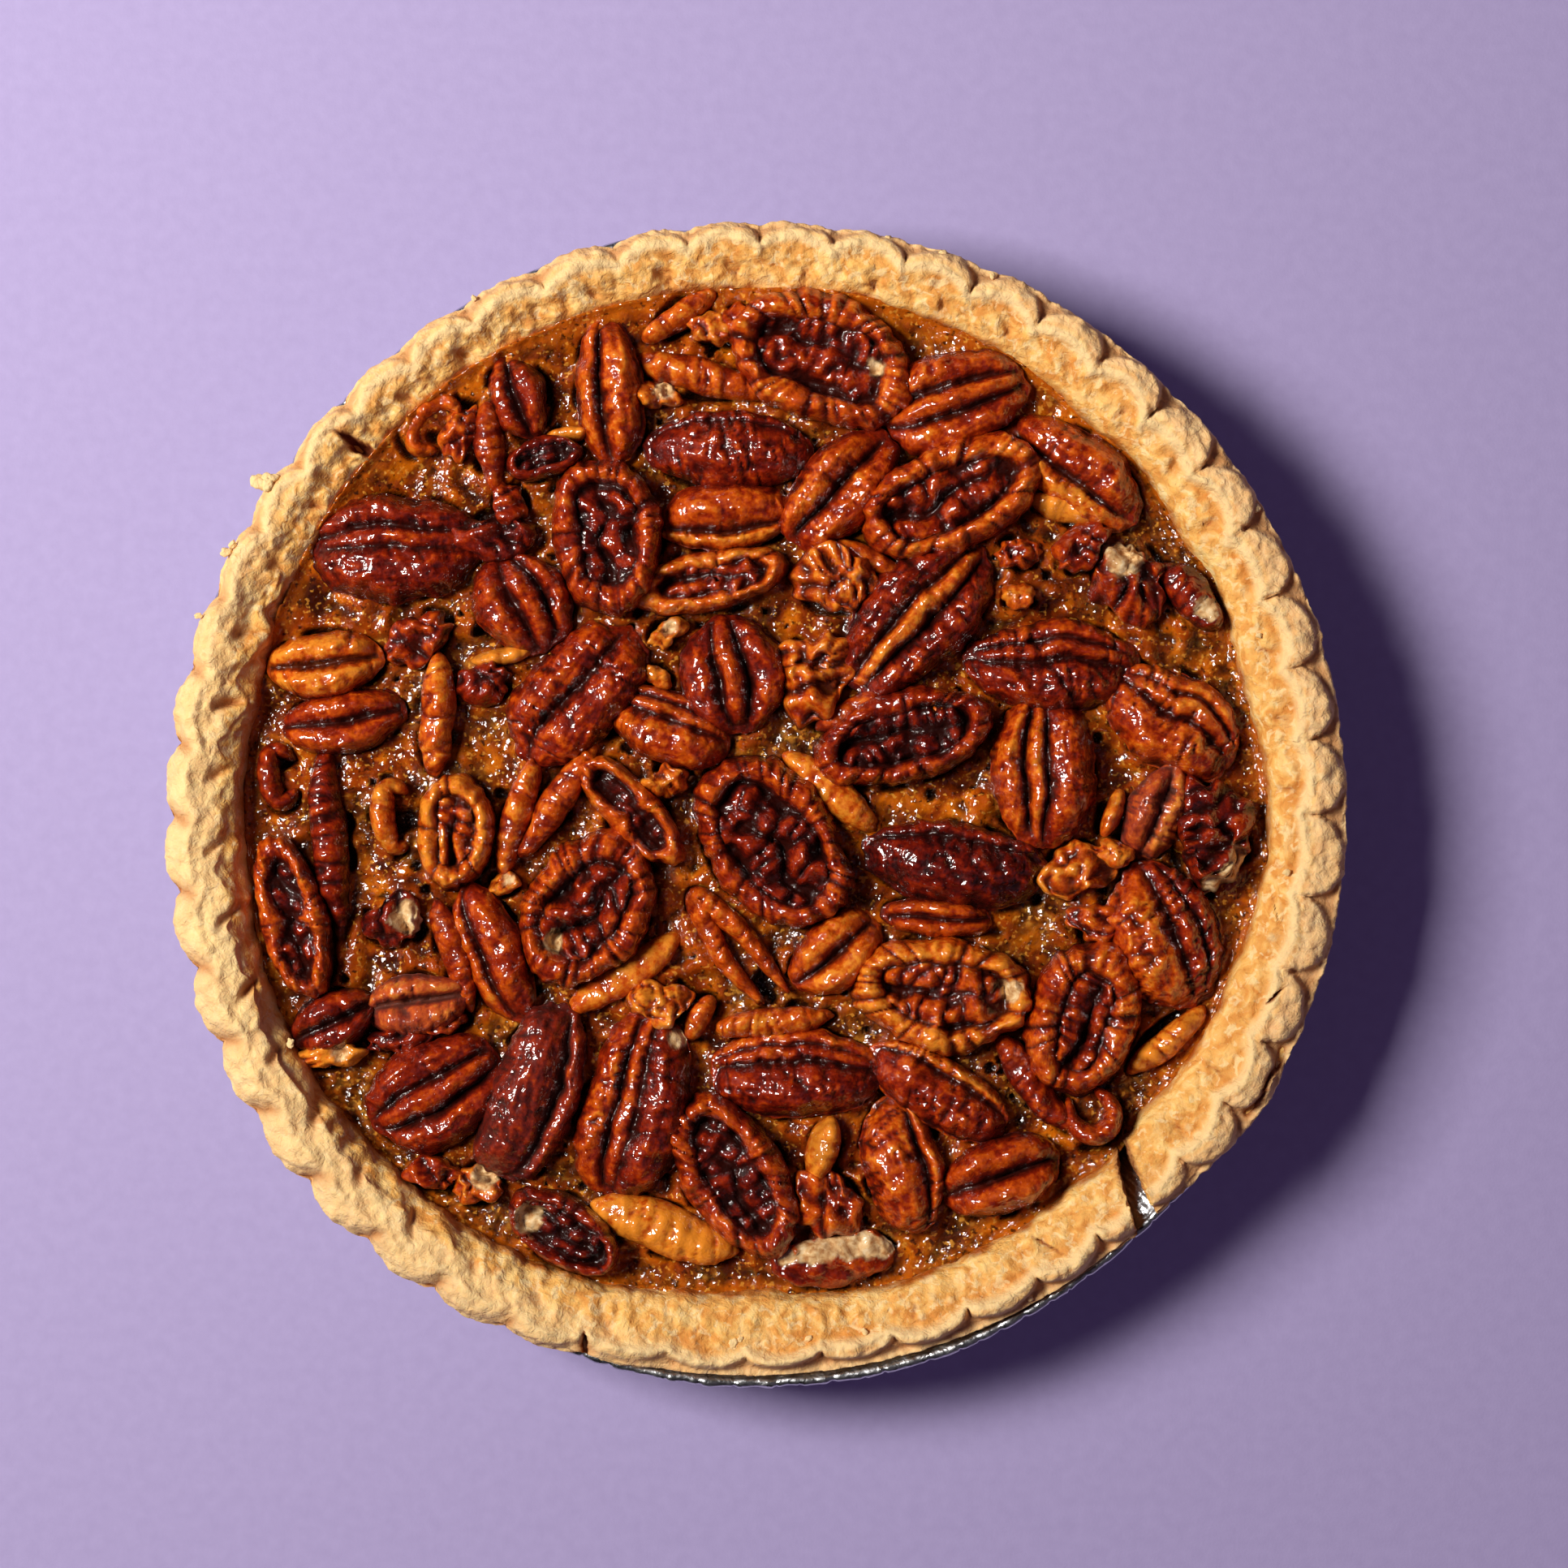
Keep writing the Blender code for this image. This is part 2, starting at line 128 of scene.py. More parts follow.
# %% Noise
GRADIENTS = np.random.default_rng(11).normal(size=(4096, 3))
GRADIENTS /= np.linalg.norm(GRADIENTS, axis=1)[:, None]
SEED_POINTS = np.random.default_rng(12).random((4096, 3))


def hashed(place, seed):
    """A table row for each whole-number place, the same on every run."""
    key = place[:, 0] * 73856093 ^ place[:, 1] * 19349663 ^ place[:, 2] * 83492791
    return (key + seed * 7919) % 4096


def noise(points, size, seed=0):
    """Smooth bumps from about -1 to 1, each about one size across."""
    p = points / size + 0.37
    cell = np.floor(p).astype(np.int64)
    part = p - cell
    ease = part**3 * (part * (part * 6 - 15) + 10)
    total = np.zeros(len(points))
    for corner in np.ndindex(2, 2, 2):
        corner = np.array(corner)
        share = np.prod(np.where(corner, ease, 1 - ease), axis=1)
        total += share * np.einsum("ij,ij->i", GRADIENTS[hashed(cell + corner, seed)], part - corner)
    return total * 1.6


def rough(points, size, seed=0, layers=3):
    """Noise with finer noise on it, each layer half the size and half the height."""
    return sum(noise(points, size / 2**k, seed + k) / 2**k for k in range(layers))


def cells(points, size, seed=0):
    """Distance to the nearest and the second nearest seed, in sizes."""
    p = points / size
    cell = np.floor(p).astype(np.int64)
    first = np.full(len(points), 9.0)
    second = first.copy()
    for step in np.ndindex(3, 3, 3):
        place = cell + np.array(step) - 1
        away = np.linalg.norm(place + SEED_POINTS[hashed(place, seed)] - p, axis=1)
        second = np.minimum(second, np.maximum(first, away))
        first = np.minimum(first, away)
    return first, second


def ease(value, low, high):
    """0 below low, 1 above high, and a smooth rise between."""
    t = np.clip((value - low) / (high - low), 0, 1)
    return t * t * (3 - 2 * t)


print("noise at one point:", noise(np.array([[1.0, 2.0, 3.0]]), 4.0))


# %% [markdown]
# ## Tools for meshes
# A sheet is added as a flat grid, like rolled-out dough, and then bent to its place. A grid keeps its rows in
# order, so the shape can be worked out row by row. Open edges are closed with one face, out of sight.


# %% Sheets, points and paint
def clear_selection():
    if bpy.context.object and bpy.context.object.mode != "OBJECT":
        bpy.ops.object.mode_set(mode="OBJECT")
    bpy.ops.object.select_all(action="DESELECT")


def add_sheet(name, columns, rows):
    """A flat grid with that many faces across and along."""
    clear_selection()
    bpy.ops.mesh.primitive_grid_add(x_subdivisions=columns, y_subdivisions=rows, size=2)
    piece = bpy.context.object
    piece.name = name
    piece.data.name = name
    return piece


def points_of(piece):
    flat = np.zeros(len(piece.data.vertices) * 3)
    piece.data.vertices.foreach_get("co", flat)
    return flat.reshape(-1, 3)


def place_points(piece, points_mm):
    piece.data.vertices.foreach_set("co", (points_mm * MM).ravel())
    piece.data.update()


def paint(piece, name, values):
    """A number for each point, which a material can read by its name."""
    attribute = piece.data.attributes.get(name) or piece.data.attributes.new(name, "FLOAT", "POINT")
    attribute.data.foreach_set("value", np.clip(values, 0, 1).astype(np.float32).ravel())


def close_edges(piece, merge=0.0):
    """Merges a seam if asked, closes each open edge with a face, and turns all faces outwards."""
    clear_selection()
    piece.select_set(True)
    bpy.context.view_layer.objects.active = piece
    bpy.ops.object.mode_set(mode="EDIT")
    bpy.ops.mesh.select_mode(type="EDGE")
    if merge:
        bpy.ops.mesh.select_all(action="SELECT")
        bpy.ops.mesh.remove_doubles(threshold=merge)
    bpy.ops.mesh.select_all(action="DESELECT")
    bpy.ops.mesh.select_non_manifold(extend=False, use_wire=False, use_multi_face=False, use_verts=False)
    bpy.ops.mesh.edge_face_add()
    bpy.ops.mesh.select_all(action="SELECT")
    bpy.ops.mesh.normals_make_consistent(inside=False)
    bpy.ops.object.mode_set(mode="OBJECT")
    bpy.ops.object.shade_smooth()


def to_round(square):
    """A square sheet's points, -1 to 1, moved to fill a disc evenly."""
    return square * np.sqrt(1 - square[:, ::-1] ** 2 / 2)


def blur(level, reach):
    """Each point's mean over its neighbours on a grid, twice, for finding hollows and ridges."""
    for axis in (0, 1, 0, 1):
        edge = [(reach + 1, reach) if k == axis else (0, 0) for k in (0, 1)]
        total = np.cumsum(np.pad(level, edge, mode="edge"), axis=axis)
        size = level.shape[axis]
        high = np.take(total, np.arange(2 * reach + 1, 2 * reach + 1 + size), axis=axis)
        low = np.take(total, np.arange(0, size), axis=axis)
        level = (high - low) / (2 * reach + 1)
    return level


def triangles(piece):
    piece.data.calc_loop_triangles()
    return len(piece.data.loop_triangles)


def into_place(piece, finish, slot, *nodes):
    """Gives a finished piece its material and lets it stand for solids. The slot is not used."""
    piece.data.materials.clear()
    piece.data.materials.append(finish)
    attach(piece, "root")
    if nodes:
        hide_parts(*nodes)
    print(piece.name, "triangles:", triangles(piece))


# %% [markdown]
# ## Tools for finishes
# A finish is a small tree of nodes that ends in one shader. The patterns are placed by the object's own
# coordinates, in metres, so that a speckle has a real size and stays put when the pie moves.


# %% Mixing a material
def colour(red, green, blue):
    """A colour chart's 0 to 255 channels as the linear colour that a shader works in."""
    chart = np.array([red, green, blue]) / 255
    linear = np.where(chart <= 0.04045, chart / 12.92, ((chart + 0.055) / 1.055) ** 2.4)
    return (*(float(c) for c in linear), 1.0)


class Finish:
    """One material under way, with short ways to add a node and join it up."""

    def __init__(self, name, **plain):
        self.material = bpy.data.materials.new(name)
        self.material.use_nodes = True
        self.tree = self.material.node_tree
        self.shader = self.tree.nodes["Principled BSDF"]
        self.place = self.node("ShaderNodeTexCoord").outputs["Object"]
        for key, value in plain.items():
            self.shader.inputs[key.replace("_", " ")].default_value = value

    def node(self, kind, settings=None, inputs=None):
        made = self.tree.nodes.new(kind)
        for key, value in (settings or {}).items():
            setattr(made, key, value)
        for key, value in (inputs or {}).items():
            self.join(value, made.inputs[key])
        return made

    def join(self, value, socket):
        if isinstance(value, bpy.types.NodeSocket):
            self.tree.links.new(value, socket)
        else:
            socket.default_value = value

    def painted(self, name):
        return self.node("ShaderNodeAttribute", {"attribute_name": name}).outputs["Fac"]

    def speckle(self, size_mm, detail=2.0, warp=0.0, stretch=(1, 1, 1)):
        """Soft noise of that size, 0 to 1."""
        spread = self.node("ShaderNodeMapping", {}, {"Vector": self.place, "Scale": stretch}).outputs[0]
        inputs = {"Vector": spread, "Scale": 1000 / size_mm, "Detail": detail, "Distortion": warp}
        return self.node("ShaderNodeTexNoise", {}, inputs).outputs["Fac"]

    def pebbles(self, size_mm, feature="F1"):
        """Distance to the nearest seed, for bubbles and grains."""
        inputs = {"Vector": self.place, "Scale": 1000 / size_mm}
        return self.node("ShaderNodeTexVoronoi", {"feature": feature}, inputs).outputs["Distance"]

    def ramp(self, value, *stops):
        """Turns a number into a colour or a grey, by (place, colour) stops."""
        made = self.node("ShaderNodeValToRGB", {}, {"Fac": value})
        while len(made.color_ramp.elements) < len(stops):
            made.color_ramp.elements.new(0.5)
        for element, (place, shade) in zip(made.color_ramp.elements, stops):
            element.position = place
            element.color = shade if isinstance(shade, tuple) else (shade, shade, shade, 1.0)
        return made.outputs["Color"]

    def blend(self, share, first, second, mode="MIX"):
        settings = {"data_type": "RGBA", "blend_type": mode, "clamp_factor": True}
        made = self.node("ShaderNodeMix", settings)
        self.join(share, made.inputs[0])
        self.join(first, made.inputs[6])
        self.join(second, made.inputs[7])
        return made.outputs[2]

    def sums(self, operation, first, second):
        made = self.node("ShaderNodeMath", {"operation": operation})
        self.join(first, made.inputs[0])
        self.join(second, made.inputs[1])
        return made.outputs[0]

    def bump(self, height, depth_mm, below=None, strength=1.0):
        """Fine relief of that real depth, on top of the relief below it."""
        inputs = {"Height": height, "Distance": depth_mm * MM, "Strength": strength}
        if below is not None:
            inputs["Normal"] = below
        return self.node("ShaderNodeBump", {}, inputs).outputs["Normal"]

    def done(self, base, roughness, normal):
        self.join(base, self.shader.inputs["Base Color"])
        self.join(roughness, self.shader.inputs["Roughness"])
        self.join(normal, self.shader.inputs["Normal"])
        print("finish", self.material.name, "nodes:", len(self.tree.nodes))
        return self.material


# %% The table top
TABLE_SIZE = 4.0
clear_selection()
bpy.ops.mesh.primitive_plane_add(size=TABLE_SIZE)
table = bpy.context.object
table.name = "table"
paper = Finish("matt_paper", Specular_IOR_Level=0.2)
shade = paper.ramp(paper.speckle(3, 3), (0.3, colour(174, 161, 204)), (0.7, colour(179, 166, 209)))
table.data.materials.append(paper.done(shade, 0.85, paper.bump(paper.speckle(0.6, 3), 0.03)))

# %% [markdown]
# ## The foil tin
# The tin is stamped from thin foil: a flat base with pressed rings, a sloping wall that crumples into fine
# pleats, and a rim rolled over a few times so that it doesn't cut. A tin could be spun from its outline, but
# a strip bent into a ring is quicker and keeps a point for each side of a pleat. The strip runs from the
# base up the outside, round the rolled rim, and back down the inside.

# %% The tin's outline, from outside base to inside base
PLEATS = 480
POINTS_PER_PLEAT = 3
TIN_COLUMNS = PLEATS * POINTS_PER_PLEAT
FOIL = 0.35
BASE_RADIUS = 88.0
BASE_CENTRE_RADIUS = 58.0
WALL_TOP_RADIUS = 118.0
ROLL_RADIUS = 1.2
ROLL_CENTRE = (120.5, 30.2)


def line(first, last, count):
    """Evenly spaced places on a straight line, without its last one."""
    first, last = np.array(first, float), np.array(last, float)
    return [tuple(first + (last - first) * k / count) for k in range(count)]


base_line = line((BASE_CENTRE_RADIUS, 0), (BASE_RADIUS - 1.5, 0), 6)
foot_line = line((BASE_RADIUS - 1.5, 0), (BASE_RADIUS + 0.6, 1.0), 3)
wall_line = line((BASE_RADIUS + 0.6, 1.0), (WALL_TOP_RADIUS - 0.6, 29.4), 10)
outside = base_line + foot_line + wall_line + [(WALL_TOP_RADIUS, 29.7)]
inside = [(r - FOIL, z + FOIL) for r, z in outside[::-1]]
roll_turns = np.radians(np.linspace(-120, 165, 14))
roll = [(ROLL_CENTRE[0] + ROLL_RADIUS * math.cos(a), ROLL_CENTRE[1] + ROLL_RADIUS * math.sin(a)) for a in roll_turns]
outline = np.array(outside + roll + inside)
print("tin outline points:", len(outline))

# %% Bend the strip round, press the pleats and crease the rim
ROWS = len(outline)
ROUND = np.linspace(0, math.tau, TIN_COLUMNS + 1)
ROUND[-1] = 0
tin = add_sheet("tin_pleated", TIN_COLUMNS, ROWS - 1)
turn = np.tile(ROUND, ROWS)
radius = np.repeat(outline[:, 0], TIN_COLUMNS + 1)
level = np.repeat(outline[:, 1], TIN_COLUMNS + 1)
heading = np.stack([np.cos(turn), np.sin(turn), turn * 0], 1)
column = np.tile(np.arange(TIN_COLUMNS + 1) % TIN_COLUMNS, ROWS)
pleat = np.where(column % POINTS_PER_PLEAT == 0, 1.0, -0.5)
on_wall = ease(radius, BASE_RADIUS, BASE_RADIUS + 4) * ease(radius, 118.2, 116)
pleat_depth = 0.42 + 0.12 * noise(heading * 100, 6.0, 3)
space = heading * 100 + np.array([0, 0, 1.0]) * level[:, None]
dent = rough(space, 18, 5) * 0.4
radius += on_wall * (pleat * pleat_depth + dent)
level -= on_wall * pleat * pleat_depth * 0.6
row = np.repeat(np.arange(ROWS), TIN_COLUMNS + 1)
on_roll = ((row >= len(outside)) & (row < len(outside) + len(roll))).astype(float)
crease_place = turn * 120 / 6.6 + 1.2 * noise(heading * 120, 14, 8)
crease = np.exp(-((((crease_place % 1) - 0.5) / 0.07) ** 2))
squash = 0.28 * crease + 0.16 * noise(heading * 120, 3.2, 9) + 0.2 * noise(heading * 120, 9, 10)
radius -= on_roll * (squash + 0.1) * (radius - ROLL_CENTRE[0] + 0.6) / ROLL_RADIUS
level -= on_roll * squash * (level - ROLL_CENTRE[1]) / ROLL_RADIUS
crinkle = 0.38 * noise(heading * 120, 3.8, 11) * (0.5 + 0.9 * noise(heading * 120, 17, 13)) * on_roll
turn_degrees = np.degrees(turn)
bared = ease(np.abs((turn_degrees - 276 + 180) % 360 - 180), 36, 10) * ease(radius, 117, 120)
radius += crinkle + 1.3 * bared
level += 0.28 * noise(heading * 120, 4.6, 12) * on_roll
ring_press = np.exp(-(((radius - 76) / 1.6) ** 2)) + np.exp(-(((radius - 66) / 1.6) ** 2))
level += 0.7 * ring_press
place_points(tin, np.stack([radius * np.cos(turn), radius * np.sin(turn), level], 1))
close_edges(tin, merge=0.000001)

# %% [markdown]
# ### Aluminium foil
# Bare aluminium is a metal: its colour is all in the reflection. Rolling leaves fine streaks and handling
# leaves tiny dents, so the shine is broken up by a rough speckle and a shallow bump.

# %% Foil finish
foil = Finish("aluminium_foil", Metallic=1.0)
foil_tone = foil.ramp(foil.speckle(5, 3), (0.3, colour(196, 197, 203)), (0.7, colour(228, 228, 230)))
foil_rough = foil.ramp(foil.speckle(1.4, 3), (0.3, 0.26), (0.75, 0.46))
foil_bump = foil.bump(foil.speckle(0.5, 3), 0.05, foil.bump(foil.speckle(2.2, 2, 0.6), 0.35))
into_place(tin, foil.done(foil_tone, foil_rough, foil_bump), "foil", "foil_tin")

# %% [markdown]
# ## The crust
# The crust is shortcrust pastry, rolled out, laid in the tin and crimped round the rim by a toothed wheel.
# The wheel leaves 47 crimps: a rounded lobe, a notch on either side of it, and a dimple a little further in.
# The dough sank differently round the tin. On the right it lies flat with a thin raised rope at its outer
# edge; on the left it puffed up into a soft roll. A single swept outline can't do that, so a long strip is
# bent into a ring whose outline changes as it goes round, and the crimps, folds and cracks are pressed in.

# %% How the crust changes round the pie
CRIMPS = 47
COLUMNS_PER_CRIMP = 28
CRUST_COLUMNS = CRIMPS * COLUMNS_PER_CRIMP
PITCH = 360 / CRIMPS
FIRST_NOTCH = 6.8
DEGREES = np.linspace(0, 360, CRUST_COLUMNS + 1)
DEGREES[-1] = 0


def around(*stations):
    """A value that changes smoothly round the pie, from (degrees, value) stations."""
    angle, value = np.array(stations, float).T
    fine = np.interp(np.arange(720) / 2, angle, value, period=360)
    window = np.hanning(17) / np.hanning(17).sum()
    fine = np.convolve(np.concatenate([fine[-8:], fine, fine[:8]]), window, mode="valid")
    return lambda degrees: np.interp(degrees, np.arange(720) / 2, fine, period=360)


inner_edge = around(
    (0, 107.8), (5, 106.8), (10, 106.2), (15, 105), (25, 107.6), (30, 105.4), (40, 107.3), (50, 106.2), (60, 107.7),
    (80, 108.7), (90, 108.1), (110, 108.4), (125, 109), (150, 108), (170, 107.5), (190, 108), (200, 109),
    (210, 110), (220, 108.5), (240, 107.5), (250, 106.3), (255, 105), (260, 104.2), (270, 102.6), (280, 105),
    (300, 105), (310, 104.8), (315, 106), (320, 104), (330, 105.9), (340, 106), (350, 108),
)
reach = around(
    (0, 124), (30, 123.2), (60, 122.4), (90, 122), (120, 121.4), (150, 121.8), (180, 123.2), (210, 124.2),
    (240, 123.2), (254, 121.2), (262, 119.9), (272, 119.3), (300, 120.0), (316, 120.6), (325, 123.2), (331, 124.6),
    (338, 123.6), (346, 124.3),
)
puffy = around((0, 0), (70, 0), (95, 0.05), (115, 0.12), (135, 0.18), (150, 0.35), (163, 0.7), (175, 0.95), (235, 1),
               (250, 0.75), (262, 0.25), (275, 0), (359, 0))
shallow = around((0, 0), (45, 0), (65, 0.7), (85, 1), (145, 1), (158, 0.5), (172, 0), (359, 0))
notch_shift = around((0, 0), (40, -0.4), (70, -0.8), (92, -1.4), (105, -2), (120, -1.1), (170, -1.2),
                     (190, -2), (212, -1.7), (228, -0.6), (244, 0), (254, 0.6), (267, 1.8), (283, 2),
                     (300, 2.9), (309, 3), (313, 1), (320, -0.8), (336, -1.2), (351, -1))
cusp_radius = around((0, 113.7), (40, 113.7), (65, 114.8), (80, 116.6), (95, 116.6), (110, 115.8), (135, 116),
                     (150, 116.5), (250, 116), (262, 115), (290, 114), (330, 114))
arc_height = around((0, 2.0), (30, 2.4), (45, 3.2), (60, 3.6), (80, 2.6), (110, 2.7), (140, 3.0),
                    (250, 3.0), (262, 2.2), (285, 2.2), (330, 2.8), (350, 2.2))
dimple_depth = around((0, 0.3), (20, 0.6), (50, 0.9), (75, 0.8), (98, 1.3), (120, 1.6), (140, 1.8), (165, 2.6),
                      (215, 2.4), (235, 1.7), (250, 1.2), (265, 0.5), (290, 0.2), (330, 0.4), (340, 0.8))
outline_wave = around((0, 0.2), (80, 0.3), (100, 0.7), (130, 0.7), (160, 1.0), (200, 1.4), (235, 1.1), (252, 0.7),
                      (262, 0.3), (330, 0.2))
print("crust columns:", CRUST_COLUMNS, "one every", round(math.tau * 120 / CRUST_COLUMNS, 2), "mm")

# %% Crimps: how far along its crimp each column is
crimp_place = (DEGREES - FIRST_NOTCH - notch_shift(DEGREES)) / PITCH
crimp_number = np.floor(crimp_place).astype(int) % CRIMPS
crimp_share = crimp_place - np.floor(crimp_place)
crimp_luck = np.random.default_rng(21).normal(size=(CRIMPS, 3))
lobe = np.sin(np.pi * crimp_share) ** 0.75
lobe_luck = crimp_luck[crimp_number] * np.sin(np.pi * crimp_share)[:, None]
print("crimps:", CRIMPS)

# %% The crust's outline at every column: flat kind and puffy kind, mixed
EDGE = inner_edge(DEGREES) + 0.5 * noise(np.stack([DEGREES, DEGREES * 0, DEGREES * 0], 1), 4.0, 40)
EDGE = EDGE + 0.4 * noise(np.stack([DEGREES, DEGREES * 0, DEGREES * 0], 1), 1.8, 42)
REACH = reach(DEGREES) + outline_wave(DEGREES) * (2 * lobe - 1.3) + 0.25 * noise(
    np.stack([DEGREES, DEGREES * 0, DEGREES * 0], 1), 5.0, 41)
PUFF = puffy(DEGREES)
SHALLOW = shallow(DEGREES)
HIDDEN = [(80, 4.6, 0), (85, 4.8, 0), (96, 15, 0)]
FLAT = [(-0.8, 22.6, 1), (0.0, 25.8, 1), (1.0, 29.2, 1), (3.0, 31.6, 1), (112.2, 32.9, 0), (114.8, 33.3, 0),
        (117.4, 33.6, 0), (119.8, 33.5, 0), (-1.0, 32.9, 2), (-0.1, 32.1, 2), (-0.5, 31.35, 2)]
PUFFED = [(-0.8, 22.6, 1), (0.3, 27.0, 1), (1.3, 31.2, 1), (3.4, 34.2, 1), (113.0, 36.0, 0), (115.8, 36.9, 0),
          (118.6, 37.0, 0), (121.0, 35.9, 0), (-0.7, 33.9, 2), (0.0, 32.6, 2), (-0.6, 31.5, 2)]
UNDER = [(-1.2, 31.55, 2), (117.6, 31.2, 0), (115.4, 29.3, 0), (104.9, 19.0, 0), (88.6, 3.4, 0), (80, 1.5, 0)]
LOW_INNER = [(-0.8, 24.4, 1), (-0.1, 27.6, 1), (0.8, 30.0, 1), (2.3, 31.4, 1), (112.6, 32.2, 0)]
WHERE = (0, EDGE, REACH)


def outline_at(stations):
    """Stations as columns of radius and level: measured from the centre, the inner edge or the outer edge."""
    return np.array([[r + WHERE[kind] + DEGREES * 0, z + DEGREES * 0] for r, z, kind in stations])


KNOTS = np.concatenate([outline_at(HIDDEN), outline_at(FLAT) * (1 - PUFF) + outline_at(PUFFED) * PUFF,
                        outline_at(UNDER)])
KNOTS[3:8] = KNOTS[3:8] * (1 - SHALLOW) + outline_at(LOW_INNER) * SHALLOW
ROWS_BETWEEN = [1, 2, 1, 4, 5, 6, 8, 7, 7, 7, 6, 4, 2, 2, 2, 2, 2, 2, 2]
along = np.concatenate([k + np.arange(n) / n for k, n in enumerate(ROWS_BETWEEN)] + [[len(ROWS_BETWEEN)]])
CRUST_ROWS = len(along)
print("outline knots", len(KNOTS), "rows", CRUST_ROWS)


def through(knots, place):
    """A smooth line through the knots, at each place along it."""
    last = len(knots) - 1
    k = np.minimum(place.astype(int), last - 1)
    t = (place - k)[:, None, None]
    slope = np.gradient(knots, axis=0)
    a, b, m, n = knots[k], knots[k + 1], slope[k], slope[k + 1]
    return (2 * t**3 - 3 * t**2 + 1) * a + (t**3 - 2 * t**2 + t) * m + (3 * t**2 - 2 * t**3) * b + (t**3 - t**2) * n


RADIUS, LEVEL = np.moveaxis(through(KNOTS, along), 1, 0)
visible = (ease(along, 3.5, 4.5) * ease(along, 13.6, 12.6))[:, None]
top_side = (ease(along, 4.0, 6.3) * ease(along, 12.2, 11.4))[:, None]
print("crust sheet", RADIUS.shape)

# %% Press the rope, the notches and the dimples
slant = 0.16 * (RADIUS - 114)
cusp = cusp_radius(DEGREES)
rope_radius = cusp + arc_height(DEGREES) * lobe + 0.5 * lobe_luck[:, 0]
outside_rope = RADIUS - rope_radius
ledge = 0.5 + 0.7 * ease(np.abs(DEGREES - 280), 50, 25) + 0.6 * noise(np.stack([DEGREES, DEGREES * 0, DEGREES * 0], 1), 11.0, 67)
leaning = crimp_share ** 0.8
lobe_round = np.sqrt(np.clip(4 * leaning * (1 - leaning), 0, 1)) ** 0.8
lobe_end = cusp + 0.4 + (REACH - ledge - cusp - 0.4) * lobe_round + 0.4 * lobe_luck[:, 2]
lobe_share = np.clip(outside_rope / np.maximum(lobe_end - rope_radius, 0.8), 0, 1.2)
rope_height = (2.45 + 0.45 * lobe_luck[:, 1] - 0.6 * (1 - lobe)) * (1 - 0.66 * PUFF) * (1 - 0.42 * SHALLOW)
inner_side = np.exp(-((np.minimum(outside_rope, 0) / (1.15 + 0.9 * SHALLOW)) ** 2))
outer_side = 1 - 0.22 * np.clip(lobe_share, 0, 1) ** 2
past_lobe = ease(RADIUS - lobe_end, -0.9, 0.6)
rope = rope_height * inner_side * outer_side * (1 - past_lobe)
notch = past_lobe * ease(REACH - RADIUS, 0.1, 1.6) * (1 - PUFF)
LEVEL = LEVEL + rope * top_side - (0.35 + 0.5 * (1 - lobe)) * notch * top_side
shingle = (0.5 - crimp_share) * ease(outside_rope, -0.8, 1.2) * (1 - notch) * (1 - PUFF)
LEVEL = LEVEL + 0.9 * shingle * top_side
low_rim = ease(np.abs(DEGREES - 286), 34, 24) * ease(RADIUS, 116.8, 119.0)
LEVEL = LEVEL - 0.9 * low_rim * top_side
slit_away = ((DEGREES - FIRST_NOTCH - notch_shift(DEGREES) - 2.5 + 0.12 * (RADIUS - 111)) / PITCH + 0.5) % 1 - 0.5
slit_away = slit_away * PITCH * np.pi / 180 * RADIUS + 0.25 * np.sin(RADIUS * 2.1 + DEGREES)
slit_luck = np.clip(0.7 + crimp_luck[crimp_number, 0], 0, 1.3) * (1 - PUFF)
slit = np.exp(-np.abs(slit_away / 0.33) ** 1.5) * np.exp(-((RADIUS - 111.4) / 1.7) ** 2) * slit_luck
LEVEL = LEVEL - 0.9 * slit * top_side
puff_notch_place = ((DEGREES - FIRST_NOTCH - notch_shift(DEGREES) + 0.25 * (RADIUS - 121)) / PITCH + 0.5) % 1 - 0.5
puff_notch_away = puff_notch_place * PITCH * np.pi / 180 * RADIUS
puff_notch = np.exp(-np.abs(puff_notch_away / 1.5) ** 1.3) * ease(RADIUS, 116.5, 120)
LEVEL = LEVEL - 1.9 * puff_notch * PUFF * top_side
dimple_place = ((DEGREES - FIRST_NOTCH - notch_shift(DEGREES) * 0.2 - 1.9 - 0.3 * (RADIUS - 113)) / PITCH + 0.5) % 1 - 0.5
dimple_away = dimple_place * PITCH * np.pi / 180 * RADIUS
dimple_luck = 1 + 0.25 * crimp_luck[(crimp_number + (crimp_share > 0.75)) % CRIMPS, 2]
dimple_line = 113.2 + 1.0 * PUFF
pit = np.exp(-np.abs(dimple_away / 1.25) ** 2) * np.exp(-((RADIUS - dimple_line) / np.where(RADIUS > dimple_line, 1.1, 2.0)) ** 2)
tail = np.exp(-np.abs(dimple_away / 1.1) ** 1.5) * ease(RADIUS, dimple_line + 0.5, dimple_line - 1.5) * ease(RADIUS, EDGE - 0.5, EDGE + 4)
FOLDED = np.exp(-(((DEGREES - 126) / 30) ** 2))
dimple = dimple_depth(DEGREES) * dimple_luck * (0.75 * pit + (0.45 + 0.15 * FOLDED) * tail)
LEVEL = LEVEL - dimple * top_side
print("rope up to", round(float(rope.max()), 1), "mm, dimples down to", round(float(dimple.max()), 1), "mm")

